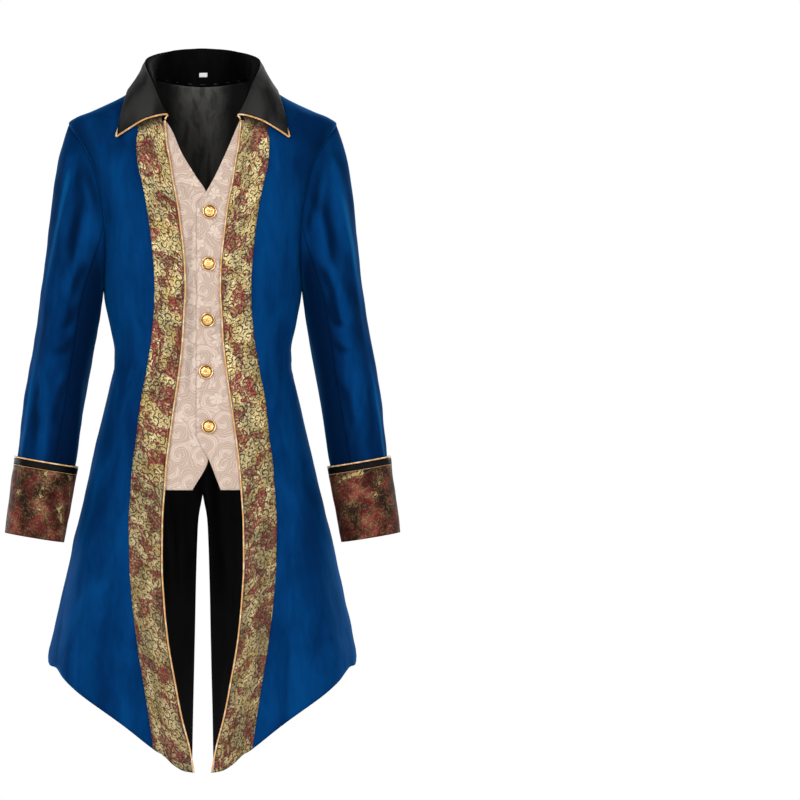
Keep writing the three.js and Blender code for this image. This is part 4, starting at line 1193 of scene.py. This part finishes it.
for label, side in SIDES:
    full, full_n, _ = front_panels[side]
    full, full_n = full[:, : BAND_COLUMN * FINE + 1], full_n[:, : BAND_COLUMN * FINE + 1]
    p, n = full.copy(), full_n.copy()
    columns = np.arange(p.shape[1])
    share = 0.35 * np.interp(columns / FINE, range(5), [r[0] for r in BAND_TOP])
    high = np.interp(columns / FINE, range(5), [r[1] for r in BAND_TOP])
    for r in range(FINE):
        at = (share + (1 - share) * r / FINE) * FINE
        i = np.clip(at.astype(int), 0, FINE - 1)
        t = (at - i)[:, None]
        p[r] = full[i, columns] * (1 - t) + full[i + 1, columns] * t
        n[r] = unit(full_n[i, columns] * (1 - t) + full_n[i + 1, columns] * t)
        p[r] += n[r] * (high * (1 - r / FINE))[:, None]
    across = runs(p, 1)
    edge = np.minimum(across, across[:, -1:] - across)
    swell = 0.5 * gentle(edge, 0, 6) + 0.25 * soft(p, 41, 60)
    uv = arcs(p, side, 0.43, 0.19)
    o = cloth(f"band_{label}_cloth", p + n * (LIFT + BROCADE + swell)[..., None], n, BROCADE,
              [brocade], uv=uv)
    sheet_of(o, f"band_{label}", "brocade")

# Collar


def form_level(p):
    d = np.where(p[..., 1] < 0, front_depth(p[..., 2]), back_depth(p[..., 2]))
    power = 2 / SQUARE
    return (np.abs(p[..., 0]) / half_width(p[..., 2])) ** power + (np.abs(p[..., 1]) / d) ** power


def lifted(p, clearance):
    """The point moved out until it clears the worn form."""
    q = np.array(p, float)
    for _ in range(6):
        f = float(form_level(q))
        g = np.array([float(form_level(q + d) - form_level(q - d)) for d in np.eye(3) * 0.5])
        level = math.copysign(f**0.4 - 1, f) / (0.4 * np.linalg.norm(g) * f**-0.6)
        if level >= clearance:
            break
        q = q + unit(g) * min(clearance - level, 4)
    return q


NECK_LINE = [BACK[0][j] for j in range(BACK_NECK + 1)]
NECK_LINE += [FRONT[0][j] for j in range(NECK_COLUMN - 1, -1, -1)]


def neck_at(share):
    """Point of the neck seam, its outward direction and the direction away from the coat."""
    n = len(NECK_LINE) - 1
    at = min(share * n, n - 1e-6)
    i = int(at)
    a, b = form(*NECK_LINE[i]), form(*NECK_LINE[i + 1])
    n0 = unit(mix(form_normal(*NECK_LINE[i]), form_normal(*NECK_LINE[i + 1]), at - i))
    before = form(*NECK_LINE[max(i - 1, 0)])
    along = unit(b - (before if i > 0 and at - i < 0.5 else a))
    away = unit(np.cross(along, n0))
    if (share < 0.7 and away[2] < 0) or (share >= 0.7 and away[0] > 0):
        away = -away
    return mix(a, b, at - i), n0, away


collar_column = [curve(COLLAR, c) for c in range(1, 9)]


def collar_profile(share):
    """Points of the collar from the neck seam over the crest to the fall's edge."""
    point, normal, away = neck_at(share)
    v = [float(f(share)) for f in collar_column]
    crest = point + normal * v[0] + away * v[1]
    foot = point + away * 0.9 - normal * SATIN
    centre, edge = lifted(v[2:5], 6.5), lifted(v[5:8], 5.6)
    turn = min(max((share - 0.8) / 0.2, 0), 1)
    up = unit(mix(unit(crest - foot), away, turn))
    out = mix(edge - foot, normal, turn)
    out = unit(out - up * (out @ up))
    fold = 3.3
    inside = crest - up * fold - out * fold * 0.9 + away * 1.3 * turn
    outside = crest - up * fold + out * fold
    stand = mix(foot, inside, 0.5) + away * 0.8 * turn
    high = lifted(mix(outside, centre, 0.5) + out * 1.2, 6)
    low = lifted(mix(centre, edge, 0.5), 6.2)
    return [point - normal * 3.4, stand, inside, crest, outside, high, centre, low, edge]


def hidden_foot(share):
    """Point of the seam allowance inside the coat, which hides the collar's lower edge."""
    point, normal, away = neck_at(share)
    keep = 1 - gentle(share, 0.6, 0.9)
    return point - away * 4.5 * keep - normal * (SATIN + 0.6 + 1.8 * keep)


# Stations along half the neck, steps between collar rows, and columns of its stand; how much the
# smoothing along the neck takes of each row
STATIONS, LEAF_FINE, STAND_COLUMNS = 14, 5, 22
EVEN_SHARE = np.array([0, 1, 0.6, 0.15, 0.15, 0.4, 0.3, 0.1, 0])[None, :, None]
stations = [(abs(k) / STATIONS, -1 if k < 0 else 1) for k in range(-STATIONS, STATIONS + 1)]
collar = np.array([mirrored(collar_profile(share), side) for share, side in stations])
crest_height = np.interp(np.abs(collar[:, 3, 0]), *CREST)
fade = gentle(STATIONS * 0.66 - np.abs(np.arange(len(collar)) - STATIONS), 0, 1)
collar[:, 2:5, 2] += ((crest_height - collar[:, 3, 2]) * fade)[:, None]
for _ in range(3):
    even = collar.copy()
    even[1:-1] = (collar[:-2] + 2 * collar[1:-1] + collar[2:]) / 4
    collar = mix(collar, even, EVEN_SHARE)
hidden = np.array([mirrored(hidden_foot(share), side) for share, side in stations])
collar = np.concatenate([hidden[:, None], collar], 1)
collar = finer(finer(collar, FINE), LEAF_FINE, 1)
collar_n = unit(np.cross(np.gradient(collar, axis=0), np.gradient(collar, axis=1)))
if collar_n[STATIONS * FINE, 7 * LEAF_FINE][1] < 0:
    collar_n = -collar_n
column = np.arange(collar.shape[1])
fade = np.clip(1 - (column - LEAF_FINE) / 5, 0, 1)[:, None]
for k in range(len(collar)):
    share = abs(k / FINE - STATIONS) / STATIONS
    seam = mirrored(-neck_at(share)[1], -1 if k < STATIONS * FINE else 1)
    collar_n[k] = unit(collar_n[k] * (1 - fade) + seam * fade)
leaf = gentle(column / LEAF_FINE, 5, 7)[None, :]
collar_p = collar + collar_n * (0.8 * soft(collar, 51, 70) * leaf)[..., None]
row = np.abs(np.arange(len(collar)) - STATIONS * FINE)[:, None] / FINE
facing = np.where(collar[..., 0] < 0, -1, 1)
wide = 5.0 * bell(collar[..., 2], 36, 17) * gentle(row, 3, 6) * bell(column[None, :], 24, 8)
collar_p[..., 0] += facing * wide
front_end = gentle(row, STATIONS - 1.6, STATIONS) * bell(column[None, :], 21, 6)
collar_p = collar_p + front_end[..., None] * np.stack(
    [-1.5 * facing, 0 * wide - 0.4, 0 * wide - 4.4], -1)
o = cloth("collar_cloth", collar_p, collar_n, SATIN, [black, shaded_stand_satin])
on_stand = np.tile(column[:-1] < STAND_COLUMNS, len(collar_p) - 1)
o.data.polygons.foreach_set("material_index", on_stand.astype(np.int32))
sheet_of(o, "collar", "black_satin")

# The collar's cord: along one end of the fall, its edge and the other end
reach = PIPING_R + 0.9
last_row, last_column = len(collar_p) - 1, collar_p.shape[1] - 1


def beside(r, j, r2, j2):
    """Direction off the collar's edge at a point, and the place of a cord beside it."""
    out = unit(collar_p[r, j] - collar_p[r2, j2])
    return out, out * reach - collar_n[r, j] * SATIN / 2


line, ends = [], {}
for r, r2 in ((0, 1), (last_row, last_row - 1)):
    ends[r] = [collar_p[r, j] + beside(r, j, r2, j)[1] for j in range(STAND_COLUMNS, last_column)]
    out = unit(collar_p[r, last_column] - collar_p[r, last_column - 1])
    out = out + unit(collar_p[r, last_column] - collar_p[r2, last_column])
    ends[r].append(collar_p[r, last_column] + out * reach * 0.85
                   - collar_n[r, last_column] * SATIN / 2)
for r in range(1, last_row):
    out, place = beside(r, last_column, r, last_column - 1)
    share = abs(r / FINE - STATIONS) / STATIONS
    under = gentle(share, 0.4, 0.6) * (1 - gentle(share, 0.93, 1.0))
    below = -out * 0.5 - collar_n[r, last_column] * (SATIN + PIPING_R + 0.1)
    line.append(collar_p[r, last_column] + mix(place, below, under))
line = ends[0] + line + ends[last_row][::-1]
theta = angle_at(edge_x(VEST_TOP), VEST_TOP)
low_end = form(theta, VEST_TOP) - [PIPING_R + 1.2, 0, 0] + form_normal(theta, VEST_TOP)
for side in (-1, 1):
    end = mirrored(low_end, side)
    halfway = mix(end, line[0] if side < 0 else line[-1], 0.5) + mirrored([0.6, -0.8, 0], side)
    line = [end, halfway] + line if side < 0 else line + [halfway, end]
tube("collar_cord", smooth_line(np.array(line), 1.5), PIPING_R, nodes=["collar_piping"])

# Waistcoat front

STITCH, STITCH_GAP, THREAD_R, SEAM_ROW = 2.4, 1.0, 0.2, 33
VEST_CREASES = creases([
    (192, 205, 189, 260, 190, 330, 187, 410, 0.9, 6), (198, 272, 190, 282, 184, 284, 0.5, 3),
    (196, 330, 189, 338, 184, 338, 0.45, 3), (212, 300, 220, 340, 228, 372, 0.35, 7),
    (178, 180, 186, 196, 195, 206, 0.35, 5),
], front_place)


def vest_panel(side, depth):
    """Points, outward directions and folds of one front, depth below the coat's outside."""
    inner = curve(VEST, 1 if side > 0 else 2)
    z = np.concatenate([np.linspace(VEST_TOP, VEST_CROSS, SEAM_ROW + 1)[:-1],
                        np.linspace(VEST_CROSS, VEST_SPLIT, 70)[:-1],
                        np.linspace(VEST_SPLIT, VEST_END, 24)])
    t = np.linspace(0, 1, 25)
    x = mix(inner(z)[:, None], side * (edge_x(z) + VEST_UNDER)[:, None], t[None, :])
    zz = np.broadcast_to(z[:, None], x.shape)
    flip = np.where(x < 0, -1.0, 1.0)
    theta = angle_at(np.abs(x), zz)
    n, p = form_normal(theta, zz), form(theta, zz)
    n[..., 0] *= flip
    p[..., 0] *= flip
    lift = front_relief(p) - 0.3 * gentle(-z, 50, 100)[:, None]
    fold = add_creases(0 * x, p, VEST_CREASES)
    fold = fold if side < 0 else fold * gentle(x, 0, 16)
    return p + n * (lift + fold - depth)[..., None], n, fold


def stitches(name, line, normals):
    """A row of sewn stitches along a line on cloth."""
    run = runs(line)
    vertices, faces = [], []
    for s in np.arange(STITCH_GAP, run[-1] - STITCH, STITCH + STITCH_GAP):
        at = s + np.array([0, 0.2, 0.5, 0.8, 1.0]) * STITCH
        p, n = along_line(at, run, line), unit(along_line(at, run, normals))
        a = unit(p[-1] - p[0])
        base = len(vertices)
        for q, m, h in zip(p, n, np.array([-0.35, 0.25, 0.4, 0.25, -0.35]) * THREAD_R * 2):
            b = unit(np.cross(a, m))
            for w in 2 * math.pi * np.arange(5) / 5:
                vertices.append(q + m * (h + THREAD_R * math.sin(w)) + b * THREAD_R * math.cos(w))
        faces += ring_faces(5, 5, base)
    declare(mesh_object(name, vertices, faces, None, [thread]), "jacquard")


seams = []
for (label, side), depth in zip(SIDES, (VELVET + 0.6, VELVET + VEST_CLOTH + 1.1)):
    p, n, fold = vest_panel(side, depth)
    uv = arcs(p)
    uv[..., 0] = p[..., 0] * MM
    uv[..., 1] += 0.37 if side < 0 else 0.0
    o = cloth(f"vest_{label}_cloth", p, n, VEST_CLOTH, [jacquard], uv=uv, fold=fold)
    sheet_of(o, f"vest_{label}", "jacquard")
    seams.append([np.concatenate([g[SEAM_ROW:, 2], g[-3, 3:]]) for g in (p, n)])
for (label, side), (line, normals) in zip(SIDES, seams):
    stitches(f"vest_stitches_{label}", line + normals * 0.05, normals)

# Buttons with a generic rosette


def button(k, centre, axis):
    rings, around_rim = 26, 72
    spin = 0.3 * k
    r = np.linspace(0, 1, rings)
    a = np.linspace(0, 2 * math.pi, around_rim, endpoint=False)
    rr, aa = np.meshgrid(r, a, indexing="ij")
    rim, groove = 0.8 * bell(rr, 0.91, 0.06), -1.2 * bell(rr, 0.76, 0.06)
    rope = 0.16 * np.sin(36 * aa + 14 * rr) * bell(rr, 0.93, 0.05)
    petals = np.abs(np.cos(4 * (aa + spin)))
    flower = 0.55 * gentle(petals * 0.62 - rr, -0.05, 0.06) * gentle(rr, 0.12, 0.2)
    leaves = 0.42 * gentle(np.abs(np.sin(4 * (aa + spin))) * 0.74 - rr, -0.04, 0.05) * (rr > 0.3)
    heart = 0.5 * gentle(0.14 - rr, -0.03, 0.03)
    beads = 0.22 * np.maximum(np.sin(24 * aa), 0) * bell(rr, 0.72, 0.045)
    h = 5.0 - 2.3 * rr**2.4 + rim + groove + rope + flower + leaves + heart + beads
    # The tone becomes the fold number: painted shade in the groove, a ring and the edge, painted
    # highlight on the rim and the flowers.
    tone = rim + groove + 0.9 * (flower + leaves) - 0.5 * gentle(rr, 0.93, 1.0)
    tone = tone - 0.35 * (np.abs(rr - 0.42) < 0.09)
    h = np.where(rr > 0.985, 2.0, h)
    x, y = BUTTON_R * rr * np.cos(aa), BUTTON_R * rr * np.sin(aa)
    under = np.stack([x[::-1] * 0.97, y[::-1] * 0.97, 0.8 * (r[::-1, None] > 0.85) + 0 * h], -1)
    p = np.concatenate([np.stack([x, y, h], -1), under])
    turn = np.array(Vector(axis).to_track_quat("Z", "Y").to_matrix())
    p = p.reshape(-1, 3) @ turn.T + centre
    faces = [(f[0], f[3], f[2], f[1]) for f in ring_faces(2 * rings, around_rim)]
    o = mesh_object(f"button_{k + 1}_metal", p, faces, None, [gold_metal],
                    np.concatenate([tone, 0 * tone]))
    declare(o, "gold_metal", f"button_{k + 1}")


for k, (x, z) in enumerate(BUTTONS):
    theta = float(angle_at(x, z))
    n, centre = form_normal(theta, z), form(theta, z)
    bulge = 0.0
    for a in np.radians(np.arange(0, 360, 30)):
        px, pz = x + BUTTON_R * math.cos(a), z + BUTTON_R * math.sin(a)
        rim = mirrored(form(float(angle_at(abs(px), pz)), pz), -1 if px < 0 else 1)
        bulge = max(bulge, float((rim - centre) @ n))
    button(k, centre + n * (bulge - VELVET - 0.6 + 0.45), n)

# Neck label
tape = np.zeros((5, 9, 3))
tape[..., 0] = 0.8 + np.linspace(-6.5, 6.5, 9)[None, :]
tape[..., 1] = 59.3 - 0.5 * np.cos(np.linspace(-1.4, 1.4, 9))[None, :]
tape[..., 2] = 27 + np.linspace(3.5, -3.5, 5)[:, None]
o = cloth("neck_label_tape", tape, np.zeros(tape.shape) + [0, -1, 0], 0.5, [white_tape])
declare(o, "white_tape", "neck_label")

# Camera, lights, floor. The coat stands in the left half of the frame, as in the photo
camera_data = bpy.data.cameras.new("camera")
camera_data.lens = 232
camera_data.sensor_width = 36
camera = bpy.data.objects.new("camera", camera_data)
bpy.context.collection.objects.link(camera)
camera.location = (0, -8, -0.4805)
camera.rotation_euler = (math.radians(90), 0, -math.atan2(0.306, 8))
bpy.context.scene.camera = camera


def lamp(name, place, height, power):
    data = bpy.data.lights.new(name, "AREA")
    data.shape = "RECTANGLE"
    data.size, data.size_y = 1.6, 2.2
    data.energy = power
    o = bpy.data.objects.new(name, data)
    bpy.context.collection.objects.link(o)
    o.location = place
    aim = Vector((0, 0, height)) - Vector(place)
    o.rotation_euler = aim.to_track_quat("-Z", "Y").to_euler()


lamp("key", (-2.0, -3.4, 1.3), -0.45, 95)
lamp("fill", (2.4, -3.2, 0.4), -0.5, 55)
lamp("back_key", (2.0, 3.4, 1.3), -0.45, 80)
lamp("back_fill", (-2.4, 3.2, 0.4), -0.5, 45)

# The world is brightest near the horizon, and white
world = bpy.data.worlds.new("studio")
bpy.context.scene.world = world
world.use_nodes = True
tree = world.node_tree
coords = tree.nodes.new("ShaderNodeTexCoord")
split = tree.nodes.new("ShaderNodeSeparateXYZ")
band = tree.nodes.new("ShaderNodeMapRange")
high = tree.nodes.new("ShaderNodeMath")
high.operation = "ABSOLUTE"
tree.links.new(coords.outputs["Generated"], split.inputs[0])
tree.links.new(split.outputs[2], high.inputs[0])
tree.links.new(high.outputs[0], band.inputs[0])
for socket, value in zip(list(band.inputs)[1:5], (0.09, 0.2, 1.0, 0.34)):
    socket.default_value = value
tree.links.new(band.outputs[0], tree.nodes["Background"].inputs["Strength"])
tree.nodes["Background"].inputs["Color"].default_value = (1, 1, 1, 1)
bpy.context.scene.view_settings.view_transform = "Standard"

bpy.ops.mesh.primitive_circle_add(vertices=96, radius=3.4, fill_type="NGON", location=(0, 0, -1.45))
floor = bpy.context.object
floor.name = "floor"
floor_look = Look("floor")
grain = floor_look.noise(floor_look.space(), 0.02, 3.0, 0.5)
floor.data.materials.append(floor_look.principled(
    Base_Color=floor_look.blend(grain, (0.80, 0.80, 0.80), (0.86, 0.86, 0.86)), Roughness=0.6))
